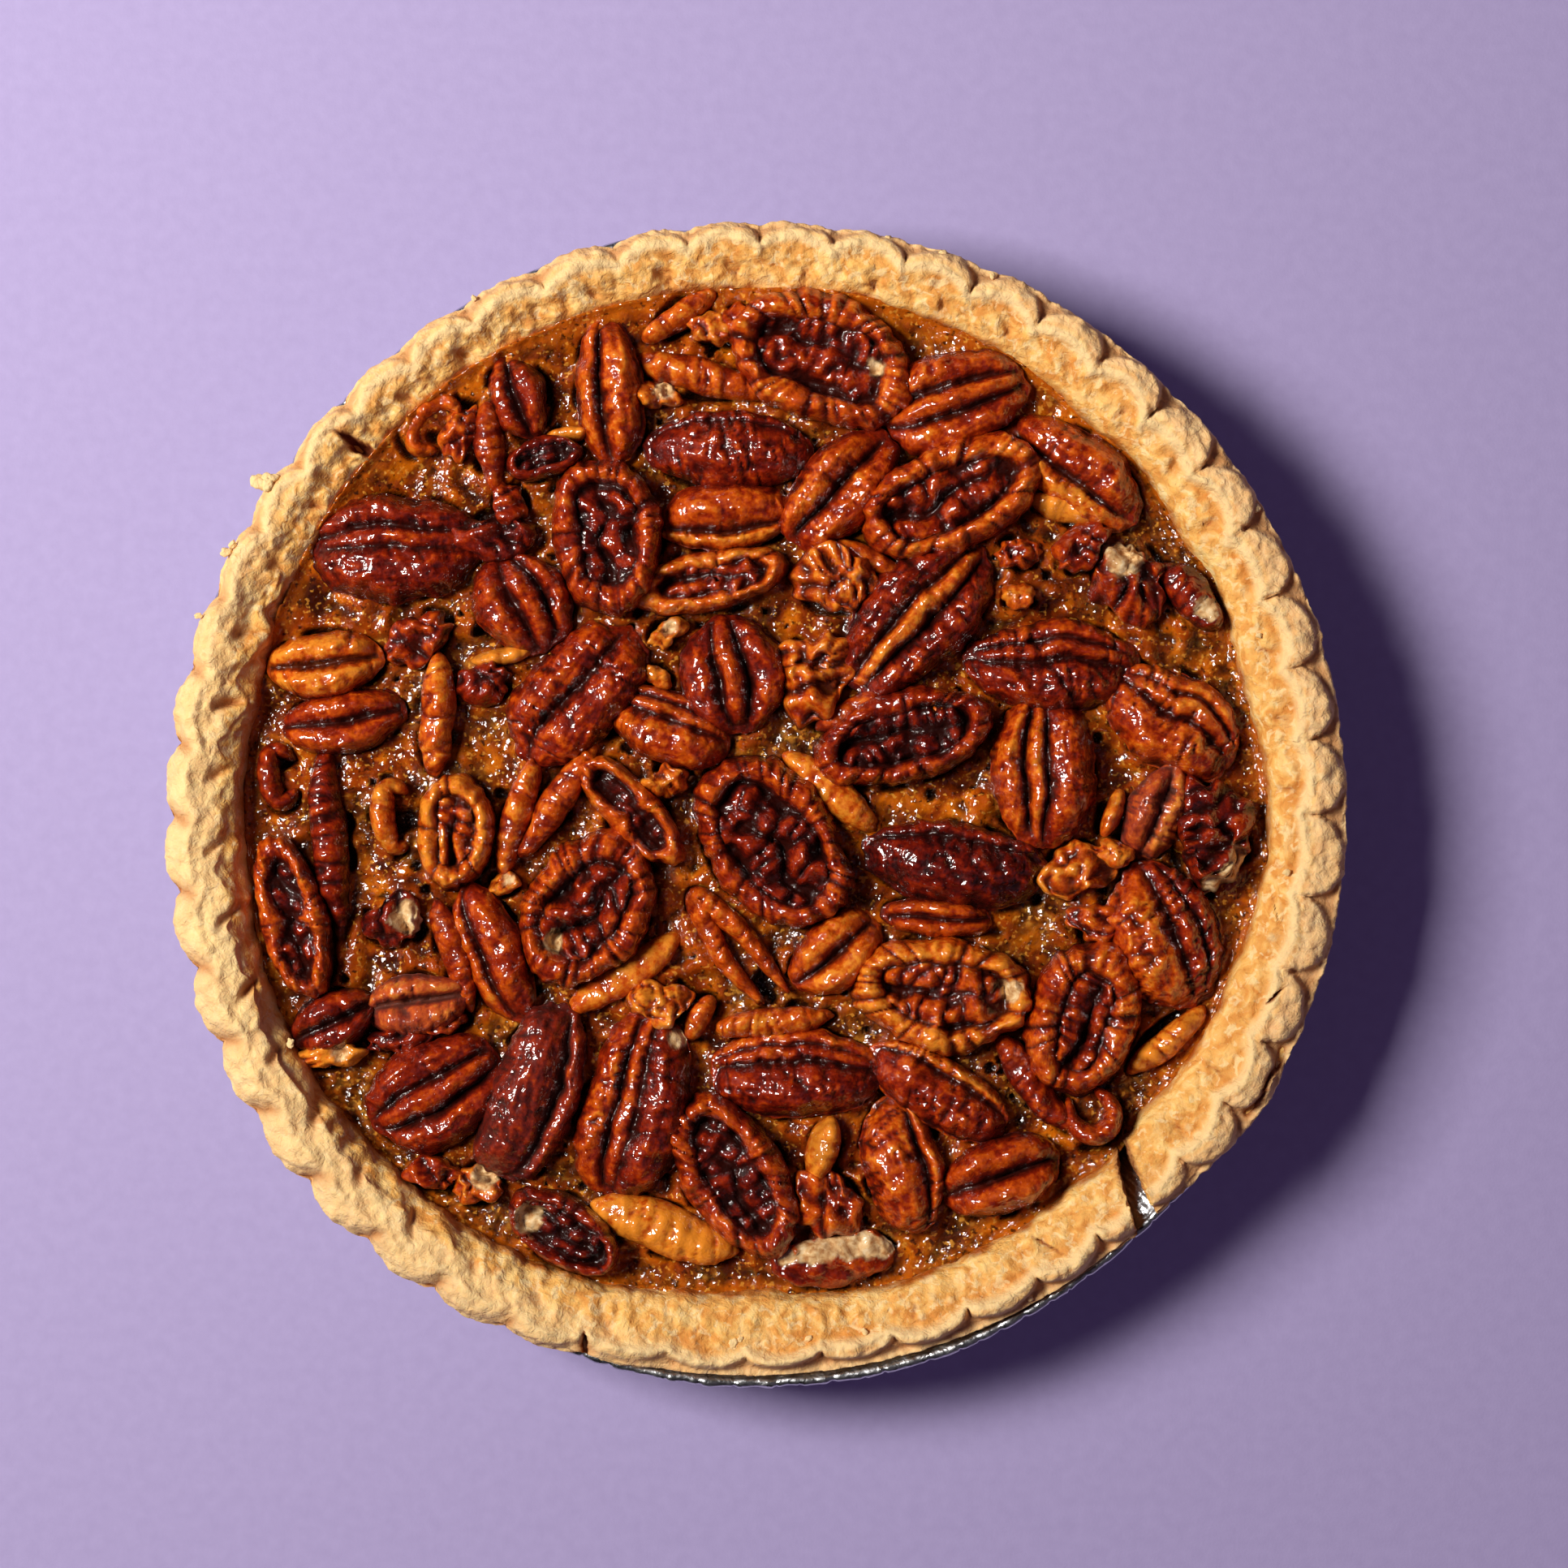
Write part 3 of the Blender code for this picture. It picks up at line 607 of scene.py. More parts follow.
# %% Crumple it: soft lumps, blisters, wrinkles and a few cracks
turn = np.radians(DEGREES)[None, :]
space = np.stack([RADIUS * np.cos(turn), RADIUS * np.sin(turn), LEVEL], -1).reshape(-1, 3)
lumps = rough(space, 8.0, 50, 2).reshape(RADIUS.shape) * (0.40 + 0.45 * PUFF)
small_lumps = rough(space, 2.7, 53, 3).reshape(RADIUS.shape) * 0.42
flakes = np.abs(noise(space, 4.2, 70)) + 0.6 * np.abs(noise(space, 1.9, 71))
flakes = (flakes.reshape(RADIUS.shape) - 0.3) * (0.85 - 0.40 * PUFF)
near_seed, next_seed = (a.reshape(RADIUS.shape) for a in cells(space, 3.6, 56))
blister = ease(near_seed, 0.42, 0.1) * ease(noise(space, 8, 57).reshape(RADIUS.shape), 0.05, 0.4)
polar = np.stack([np.radians(DEGREES)[None, :] * 110 + RADIUS * 0.15, RADIUS / 5, RADIUS * 0], -1).reshape(-1, 3)
polar[:, 0] %= math.tau * 110
on_band = np.sin(np.pi * np.clip((RADIUS - EDGE) / (116 - EDGE), 0, 1))
wrinkle = noise(polar, 2.1, 58).reshape(RADIUS.shape) * (0.10 + 0.14 * on_band)
drape_place = polar * np.array([1, 0.45, 1])
drape = np.abs(noise(drape_place, 5.5, 59)).reshape(RADIUS.shape) + 0.5 * np.abs(noise(polar, 2.6, 68)).reshape(RADIUS.shape)
wrinkle = wrinkle + (drape - 0.35) * on_band**0.5 * (1.3 * FOLDED + 0.45)
LEVEL = LEVEL + (lumps + small_lumps + flakes + 0.42 * blister * (1 - 0.5 * PUFF) + wrinkle) * top_side
outer_face = ease(along, 9.5, 11.5)[:, None] * visible
on_wall = (ease(along, 3.2, 4.6) * ease(along, 9.0, 6.0))[:, None]
wall_lumps = rough(space * np.array([1, 1, 0.5]), 6.5, 72, 2) + 0.5 * np.abs(noise(space, 3.2, 74))
RADIUS = RADIUS + on_wall * wall_lumps.reshape(RADIUS.shape) * (0.5 + 1.1 * ease(PUFF, 0.1, 0.6))
RADIUS = RADIUS + outer_face * (small_lumps * 0.9 + 0.3 * lumps + 0.3 * flakes)


def crack(first, last, wide, deep, seed):
    """A crack along a line between two (degrees, radius) places, as a depth for every point."""
    share = (RADIUS - first[1]) / (last[1] - first[1])
    middle = first[0] + (last[0] - first[0]) * np.clip(share, 0, 1)
    wander = 0.5 * noise(np.stack([RADIUS.ravel(), RADIUS.ravel() * 0, RADIUS.ravel() * 0], 1), 2.5, seed).reshape(RADIUS.shape)
    away = np.abs(np.radians((DEGREES - middle + 180) % 360 - 180) * RADIUS + wander)
    width = wide * np.sin(np.pi * np.clip(share, 0, 1) ** 1.3) ** 1.3 + 0.05
    inside_ends = (share > -0.02) & (share < 1.02)
    return deep * ease(away, width * 0.5 + 0.3, width * 0.5 - 0.3) * inside_ends * np.clip(width / wide + 0.15, 0, 1)


cracks = crack((138.5, 119.5), (137.6, 105.5), 2.2, 5.0, 60) + crack((253.2, 124), (251.8, 115.5), 0.9, 4.5, 61)
cracks += crack((304.6, 115.5), (302.2, 107), 0.35, 1.6, 62) + crack((341.0, 117), (338.6, 114.6), 1.3, 2.4, 63)
cracks += crack((352.4, 108), (345.4, 113.5), 0.2, 0.7, 64) + crack((331, 111), (323, 109.5), 0.2, 0.6, 65)
rim_slit = np.exp(-np.abs((RADIUS - 122.0 - 0.3 * np.sin(DEGREES * 1.7)) / 0.45) ** 2) * ease(np.abs(DEGREES - 331.3), 4.2, 3.0)
cracks = np.maximum(cracks, 2.4 * rim_slit)
LEVEL = LEVEL - cracks * top_side
print("cracks down to", round(float(cracks.max()), 1), "mm")

# %% Make the crust from the strip
crust = add_sheet("crust_crimped", CRUST_COLUMNS, CRUST_ROWS - 1)
CRUST_POINTS = np.stack([RADIUS * np.cos(turn), RADIUS * np.sin(turn), LEVEL], -1).reshape(-1, 3)
place_points(crust, CRUST_POINTS)
rope_line = np.exp(-((outside_rope + 0.2) / 1.3) ** 2) * (1 - PUFF) * top_side
valley = notch * 0.7
crescent = np.exp(-(((outside_rope + 2.4) / 1.5) ** 2)) * lobe * (1 - PUFF) * (1 - 0.5 * SHALLOW) * top_side
# Rope crest, puffy roll top and blisters painted lighter: partly paler dough, partly painted highlight.
paint(crust, "pale", np.clip(rope_line + 0.65 * PUFF * ease(RADIUS, 111, 114) + 0.7 * blister * top_side, 0, 1))
# Painted shade: notches, the ledge past the lobes, dimples, slits and cracks are darkened.
paint(crust, "recess_shade", np.clip(0.35 * dimple + 0.8 * puff_notch * PUFF + 0.85 * valley + 0.9 * slit + cracks, 0, 1) * visible)
# Cracks painted dark red-brown: painted shade over the colour of the filling below.
paint(crust, "cracked", np.clip(cracks / 2.5, 0, 1) * top_side)
# Darker tan in a crescent just inside each rope arc, and painted shade in the creases between flakes.
paint(crust, "tan_and_crease_shade", crescent + 0.4 * ease(0.28 - flakes, 0.0, 0.35) * top_side * (1 - PUFF))
wet_width = 0.55 + 0.9 * noise(np.stack([DEGREES * 2, DEGREES * 0, DEGREES * 0], 1), 5.0, 66)
paint(crust, "stain", ease(RADIUS - EDGE, wet_width + 0.7, wet_width - 0.7) * (along < 9)[:, None])
# Painted light: the lobes outside the rope are painted lighter, standing for light on their outer slopes.
paint(crust, "lobe", ease(outside_rope, 0.6, 2.2) * (1 - 0.6 * PUFF) * visible)
close_edges(crust, merge=0.000001)

# %% [markdown]
# ### The place where the rim broke away
# At the lower right a slice of rim is missing, and the tin's pleats show through. A clean cut would look like
# a knife's, so the cutter is a block whose sides are crumpled first. The Boolean modifier takes it away.

# %% Cut the gap
GAP_SIDES = [(127, 310.4, 314.0), (122, 311.2, 314.1), (118, 312.0, 314.6), (114, 312.9, 315.4), (110, 313.9, 316.2),
             (107, 315.0, 317.0), (104.6, 316.4, 317.7)]
GAP_FLOOR = 17.5
clear_selection()
bpy.ops.mesh.primitive_cube_add(size=2)
cutter = bpy.context.object
bpy.ops.object.mode_set(mode="EDIT")
bpy.ops.mesh.select_all(action="SELECT")
bpy.ops.mesh.subdivide(number_cuts=31)
bpy.ops.object.mode_set(mode="OBJECT")
block = points_of(cutter)
gap_radius, gap_low, gap_high = np.array(GAP_SIDES)[::-1].T
cut_radius = gap_radius[0] + (block[:, 0] + 1) / 2 * (gap_radius[-1] - gap_radius[0])
cut_share = (block[:, 1] + 1) / 2
cut_side = np.interp(cut_radius, gap_radius, gap_low) * (1 - cut_share) + np.interp(cut_radius, gap_radius, gap_high) * cut_share
cut_level = GAP_FLOOR + (block[:, 2] + 1) / 2 * 24
cut_turn = np.radians(cut_side)
cut_space = np.stack([cut_radius * np.cos(cut_turn), cut_radius * np.sin(cut_turn), cut_level], 1)
crumple = rough(cut_space, 2.6, 70, 3) * 0.55 + 0.25 * np.sin(cut_level * 3.2)
cut_turn = cut_turn + np.sign(block[:, 1]) * (np.abs(block[:, 1]) > 0.99) * crumple / cut_radius
lean = np.sign(block[:, 1]) * (cut_level - 33) * 0.10 / cut_radius
cut_turn = cut_turn + lean * (block[:, 1] < 0)
place_points(cutter, np.stack([cut_radius * np.cos(cut_turn), cut_radius * np.sin(cut_turn), cut_level], 1))
gap = crust.modifiers.new("gap", "BOOLEAN")
gap.operation = "DIFFERENCE"
gap.object = cutter
gap.solver = "MANIFOLD"
bpy.context.view_layer.objects.active = crust
bpy.ops.object.modifier_apply(modifier="gap")
bpy.data.objects.remove(cutter)
bpy.ops.object.shade_smooth()
made = points_of(crust) / MM
made_turn = np.degrees(np.arctan2(made[:, 1], made[:, 0])) % 360
made_radius = np.hypot(made[:, 0], made[:, 1])
gap_middle = np.interp(made_radius, gap_radius, (gap_low + gap_high) / 2)
gap_half = np.interp(made_radius, gap_radius, (gap_high - gap_low) / 2)
from_gap = (np.abs(made_turn - gap_middle) - gap_half) * np.pi / 180 * made_radius
paint(crust, "cut_face", ease(from_gap, 0.9, 0.2) * ease(made[:, 2], 33.6, 31.5) * (made_radius > 104) * (made[:, 2] > 12))
print("crust after the gap:", triangles(crust), "triangles")

# %% [markdown]
# ### Baked pastry
# Pastry is matt and mottled: butter and flour brown at different speeds, so there are tan patches. The blisters,
# the top of the puffy roll and the rope's crest are painted paler, partly paler dough and partly painted
# highlight, and the lobes outside the rope are painted lighter, a painted light on their outer slopes. Notches,
# dimples, slits, cracks and the creases between flakes are painted darker as shade, and a crescent inside each
# rope arc is a darker tan. At the inner edge the custard soaked in and left a wet amber line. Fine bumps stand
# for the short, flaky crumb.

# %% Pastry finish
pastry = Finish("baked_pastry", Specular_IOR_Level=0.25)
pastry.shader.inputs["Subsurface Weight"].default_value = 0.12
pastry.shader.inputs["Subsurface Radius"].default_value = (1.0, 0.5, 0.25)
pastry.shader.inputs["Subsurface Scale"].default_value = 0.0015
mottle = pastry.ramp(pastry.speckle(5.0, 4, 1.2), (0.36, colour(226, 152, 70)), (0.50, colour(246, 186, 98)),
                     (0.64, colour(254, 210, 132)))
fleck = pastry.ramp(pastry.speckle(2.2, 3, 0.8), (0.54, 0.0), (0.64, 1.0))
# Darker tan inside the rope arcs, and painted shade in the creases between flakes.
tint = pastry.blend(pastry.sums("MULTIPLY", pastry.painted("tan_and_crease_shade"), 0.5), mottle, colour(206, 126, 52))
tint = pastry.blend(pastry.sums("MULTIPLY", fleck, 0.65), tint, colour(254, 224, 164))
# Crests painted paler: partly paler dough, partly painted highlight.
pale = pastry.ramp(pastry.sums("ADD", pastry.painted("pale"), pastry.sums("MULTIPLY", pastry.speckle(2.4, 3), 0.35)),
                   (0.30, 0.0), (0.95, 1.0))
tint = pastry.blend(pastry.sums("MULTIPLY", pale, 0.85), tint, colour(246, 212, 152))
# Painted light: lighter colour for the lobes outside the rope.
painted_lobe_light = pastry.ramp(pastry.speckle(3, 3), (0.35, colour(240, 192, 132)), (0.65, colour(254, 214, 156)))
tint = pastry.blend(pastry.sums("MULTIPLY", pastry.painted("lobe"), 0.75), tint, painted_lobe_light)
# Painted shade in the notches, dimples, slits and cracks.
tint = pastry.blend(pastry.painted("recess_shade"), tint, colour(170, 98, 44))
# Painted shade in the cracks, red-brown from the filling below.
tint = pastry.blend(pastry.painted("cracked"), tint, colour(112, 46, 18))
layered = pastry.ramp(pastry.speckle(1.3, 3, 0, (0.3, 0.3, 2.0)), (0.35, colour(120, 62, 26)), (0.65, colour(206, 142, 78)))
tint = pastry.blend(pastry.painted("cut_face"), tint, layered)
stain_share = pastry.sums("MULTIPLY", pastry.painted("stain"),
                          pastry.ramp(pastry.speckle(3.5, 3), (0.25, 0.55), (0.6, 1.0)))
tint = pastry.blend(stain_share, tint, colour(170, 78, 16))
crumb = pastry.bump(pastry.speckle(0.45, 3), 0.14)
crumb = pastry.bump(pastry.speckle(1.7, 4, 0.8), 0.50, crumb)
crumb = pastry.bump(pastry.pebbles(2.3), 0.18, crumb)
wetness = pastry.ramp(stain_share, (0.0, 0.78), (1.0, 0.16))
PASTRY = pastry.done(tint, wetness, crumb)
into_place(crust, PASTRY, "crust", "crust")

# %% [markdown]
# ## Where the nuts are
# The solids say where each pecan lies. Seen from above, a solid's shadow on the table has a middle, a long
# way and a wide way. They come from the spread of its top faces, as for a beam's section, so no place has to
# be copied by hand. The custard needs them too, because it climbs a little up the side of each nut.


# %% Read each pecan's place, size and heading from its solid
def top_spread(node):
    """Middle, length, width and heading of a solid seen from above, in millimetres and radians."""
    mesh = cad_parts[node].data
    mesh.calc_loop_triangles()
    corners = np.array([[mesh.vertices[k].co[:2] for k in t.vertices] for t in mesh.loop_triangles]) / MM
    side, other = corners[:, 1] - corners[:, 0], corners[:, 2] - corners[:, 0]
    area = np.maximum(side[:, 0] * other[:, 1] - side[:, 1] * other[:, 0], 0) / 2
    middle = (corners.mean(1) * area[:, None]).sum(0) / area.sum()
    about = corners - middle
    halves = (about + np.roll(about, 1, axis=1)) / 2
    spread = np.einsum("t,tki,tkj->ij", area / 3, halves, halves) / area.sum()
    values, ways = np.linalg.eigh(spread)
    heading = math.atan2(ways[1, 1], ways[0, 1])
    heading = (heading + math.pi / 4) % math.pi - math.pi / 4
    return middle, 4 * math.sqrt(values[1]) * 1.02, 4 * math.sqrt(values[0]) * 1.02, heading


PLACES = {int(node[-2:]): top_spread(node) for node in PECAN_NODES}
print("pecan 15 lies at", PLACES[15][0].round(1), "and is", round(PLACES[15][1], 1), "mm long")


def beside(points, middle, length, width, heading):
    """How far outside a nut's outline each point is, in millimetres. Below zero is under the nut."""
    away = points[:, :2] - np.array(middle)
    along = away[:, 0] * math.cos(heading) + away[:, 1] * math.sin(heading)
    across = away[:, 1] * math.cos(heading) - away[:, 0] * math.sin(heading)
    share = np.hypot(along / (length / 2), across / (width / 2))
    return (share - 1) * np.hypot(along, across) / np.maximum(share, 1e-6)

# %% [markdown]
# ## Pecan halves
# A pecan half has two faces. The back is two to four long smooth lobes with deep grooves between them, and
# the fatter lobes are cracked across. The inner face is a wrinkled rope that runs round a hollow, with two
# lower ridges inside. Half of the nuts in the pie lie one way up and half the other, and no two are alike.
# A ball pressed flat would lose its grooves at the sides, so each nut is a sheet wrapped over and under an
# oval: its top is a height for every place along and across, and its underside curls in below.

# %% Wrap a sheet over an oval
NUT_STEP = 0.43
WRAP = 2.15
NUT_MIDDLE = 2.2
NUT_GROWTH = 1.12
UNDERSIDE = 3.2


def wrapped_sheet(name, length, width):
    """A sheet over an oval: its object, its place along and across, and how high on the oval it is."""
    columns = max(14, round(length * 1.45 / NUT_STEP))
    rows = max(12, round(width * 1.6 / NUT_STEP))
    piece = add_sheet(name, columns, rows)
    disc = to_round(points_of(piece)[:, :2])
    share = np.maximum(np.hypot(disc[:, 0], disc[:, 1]), 1e-9)
    out = np.sin(share * WRAP) / share
    return piece, disc[:, 0] * out, disc[:, 1] * out, np.cos(share * WRAP), (rows + 1, columns + 1)


def billow(points, size, seed):
    """Rounded lumps with sharp creases between them, 0 at a crease."""
    return np.abs(noise(points, size, seed))


def flat_points(along, across, seed):
    return np.stack([along, across, along * 0 + seed * 3.1], 1)


print("one point every", NUT_STEP, "mm")


# %% The back of a half: lobes and grooves
def back_top(u, v, length, width, look, seed):
    """Height of the top, 0 to 1, and how orange each lobe is."""
    along, across = u * length / 2, v * width / 2
    q = v / np.sqrt(np.maximum(1 - u**2, 0.02))
    q = q + 0.06 * noise(flat_points(along, along * 0, seed), 9, 100) + 0.015 * noise(flat_points(along, across, seed), 3, 101)
    lobes = look.get("lobes", THREE_LOBES)
    heights = []
    for k, (middle, half, tall, *rest) in enumerate(lobes):
        reach = rest[1] if len(rest) > 1 else 0.97
        slip = 0.07 * math.sin(seed * 5 + k * 2.4)
        end = np.clip(1 - (np.abs(u - slip) / reach) ** 4, 0, 1) ** 0.5
        heights.append(tall * end * np.sqrt(np.clip(1 - ((q - middle) / half) ** 2, 0, 1)))
    heights = np.array(heights)
    best = heights.argmax(0)
    top = np.maximum(heights.max(0), 0.30)
    side = np.sqrt(np.clip(1 - np.abs(q) ** 7, 0, 1))
    tips = np.clip(1 - np.abs(u) ** 2.8, 0, 1) ** 0.55
    orange = np.array([lobe[3] if len(lobe) > 3 else 0.0 for lobe in lobes])[best]
    seam = best * 7.0 + seed
    cross = billow(np.stack([along + 0.25 * across, across * 0.28, seam], 1), 2.6 * look.get("pitch", 1.0), 103)
    patch = ease(noise(flat_points(along, across, seed), 7, 105), -0.45, 0.25) * (0.15 + 0.85 * look.get("cracks", 0.6))
    crease = np.exp(-(cross / 0.10) ** 2) * patch
    wrinkle = 0.075 * noise(flat_points(along * 0.3, across, seed), 1.2, 106)
    wrinkle = wrinkle + 0.10 * rough(flat_points(along, across, seed), 5, 107, 2)
    wrinkle = wrinkle + 0.09 * patch * rough(flat_points(along, across * 0.6, seed), 1.9, 108, 2)
    wrinkle = wrinkle + patch * 0.13 * (np.clip(cross, 0, 0.5) - 0.2)
    fine = billow(np.stack([along + 0.4 * across, across * 0.45, seam], 1), 1.35, 109)
    wrinkle = wrinkle - 0.062 * np.exp(-(fine / 0.15) ** 2) * (0.5 + 0.5 * patch)
    return (top + wrinkle) * side * tips - 0.085 * crease * tips, orange, crease


THREE_LOBES = [(-0.62, 0.40, 0.82), (0.02, 0.29, 0.95), (0.64, 0.38, 0.80)]
TWO_LOBES = [(-0.48, 0.53, 1.0), (0.50, 0.51, 0.95)]
BIG_BELOW = [(-0.33, 0.66, 1.0), (0.44, 0.26, 0.82), (0.84, 0.24, 0.55)]
BIG_ABOVE = [(0.33, 0.66, 1.0), (-0.44, 0.26, 0.82), (-0.84, 0.24, 0.55)]
FAT_LOBE = [(-0.12, 0.90, 1.0), (0.88, 0.22, 0.45)]
print("lobe patterns:", 5)


# %% The inner face: a wrinkled rope round a hollow
def face_top(u, v, length, width, look, seed):
    """Height of the top, 0 to 1, for a half that lies on its back."""
    along, across = u * length / 2, v * width / 2
    out = np.maximum(np.hypot(u, v), 1e-6)
    local = np.hypot(along, across) / out
    swirl = noise(flat_points(along, across, seed), 9, 110) * 0.6
    inward = (1 - out) * local
    thick = look.get("rope", 0.125) * width * (1 + 0.28 * noise(flat_points(along, across, seed), 8, 111)) + 0.15
    x = (inward - thick) / thick
    rope = np.sqrt(np.clip(1 - np.minimum(x, 1) ** 2, 0, 1))
    edge_point = np.stack([along / out + swirl, across / out, along * 0 + seed], 1)
    segments = 0.62 * billow(edge_point, look.get("segment", 2.7), 112) + 0.45 * billow(edge_point, 4.8, 117)
    crease = np.exp(-(segments / 0.11) ** 2) * ease(x, 1.1, 0.5)
    rope = rope * (0.84 + 0.40 * np.clip(segments, 0, 0.5) + 0.18 * noise(edge_point, 9, 118)) - 0.07 * crease
    rope = rope + 0.06 * rough(flat_points(along, across, seed), 1.8, 119, 2) * ease(inward, 0, 1)
    open_end = look.get("open", 0)
    if open_end:
        rope = rope * (1 - 0.55 * ease(u * open_end, 0.80, 0.97) * ease(np.abs(v), 0.35, 0.12))
    ridge_gap = look.get("ridge_gap", 0.15) * width * (1 - 0.4 * u * look.get("meet", 1))
    ridge_half = look.get("ridge", 0.145) * width
    wander = 0.16 * width * noise(flat_points(along, along * 0, seed), 8, 113)
    ridge = np.sqrt(np.clip(1 - ((np.abs(across - wander) - ridge_gap) / ridge_half) ** 2, 0, 1))
    ridge_end = ease(np.abs(u + 0.08), look.get("ridge_long", 0.80), 0.55)
    lumps = billow(flat_points(along, across * 0.5, seed + 9), 3.4, 114)
    tall = 0.12 + look.get("ridge_tall", 0.5)
    inside = 0.26 + tall * ridge * ridge_end * (0.55 + 1.1 * np.clip(lumps, 0, 0.5))
    inside = inside + 0.14 * rough(flat_points(along, across, seed), 3.0, 115, 3)
    crease = np.maximum(crease, 0.8 * np.exp(-(lumps / 0.12) ** 2) * ease(x, 0.8, 1.2))
    top = np.where(x > 0, np.maximum(rope, inside * ease(x, 0.35, 1.0)), rope)
    top = top + 0.06 * noise(flat_points(along, across, seed), 4, 116) * ease(inward, 0, 1.5)
    return top, 0.10 * ease(x, 1.2, 0.6) - 0.12 * ease(x, 0.8, 1.2), crease


# %% Fingers, hooks and broken chunks
def finger_top(u, v, length, width, look, seed):
    """One round lobe, wrinkled across."""
    along, across = u * length / 2, v * width / 2
    q = v / np.sqrt(np.maximum(1 - u**2, 0.02))
    cross = billow(np.stack([along + 0.2 * across, across * 0.25, along * 0 + seed], 1), 2.7 * look.get("pitch", 1.0), 120)
    patch = look.get("cracks", 0.7)
    crease = np.exp(-(cross / 0.14) ** 2) * patch
    tips = np.clip(1 - np.abs(u) ** 3, 0, 1) ** 0.55
    top = np.sqrt(np.clip(1 - q**2, 0, 1)) * tips * (0.84 + 0.42 * patch * np.clip(cross, 0, 0.5))
    top = top * (1 + 0.13 * rough(flat_points(along, across, seed), 4, 121, 3))
    return top - 0.09 * crease * tips, 0 * u, crease


def chunk_top(u, v, length, width, look, seed):
    """A broken lump, faceted where it snapped."""
    along, across = u * length / 2, v * width / 2
    rise = np.sqrt(np.clip(1 - u**2 - v**2, 0, 1))
    fold = billow(np.stack([along + 0.3 * across, across * 0.45, along * 0 + seed], 1), 3.0, 131)
    lump = (noise(flat_points(along, across, seed), 5, 130) * 0.6 + np.clip(fold, 0, 0.5)) * look.get("lumps", 1.0)
    slab = noise(flat_points(along * 0.5 + across, across * 0, seed), 4, 132)
    crease = np.exp(-(fold / 0.12) ** 2) * look.get("cracks", 0.8)
    facet = np.abs(noise(flat_points(u, v, seed), 0.6, 133)) - 0.2
    top = rise**0.6 * (0.66 + 0.6 * lump + 0.30 * slab + look.get("facets", 0.55) * facet) - 0.09 * crease * rise
    return top, 0 * u, crease


TOPS = {"back": back_top, "face": face_top, "finger": finger_top, "hook": finger_top, "chunk": chunk_top}
print("kinds of nut:", sorted(TOPS))


# %% Make one nut and lay it in the custard
def hook_line(length, width, tube, curl):
    """A bent centre line: how far round its oval each step of its run is, the oval's two radii, and its run."""
    wide = (length - tube) / 2
    deep = (width - tube) / (1 - math.cos(curl / 2))
    angles = np.linspace(-curl / 2, curl / 2, 200)
    speed = np.hypot(wide * np.cos(angles), deep * np.sin(angles))
    run = np.concatenate([[0], np.cumsum((speed[1:] + speed[:-1]) / 2 * np.diff(angles))])
    return angles, run, wide, deep


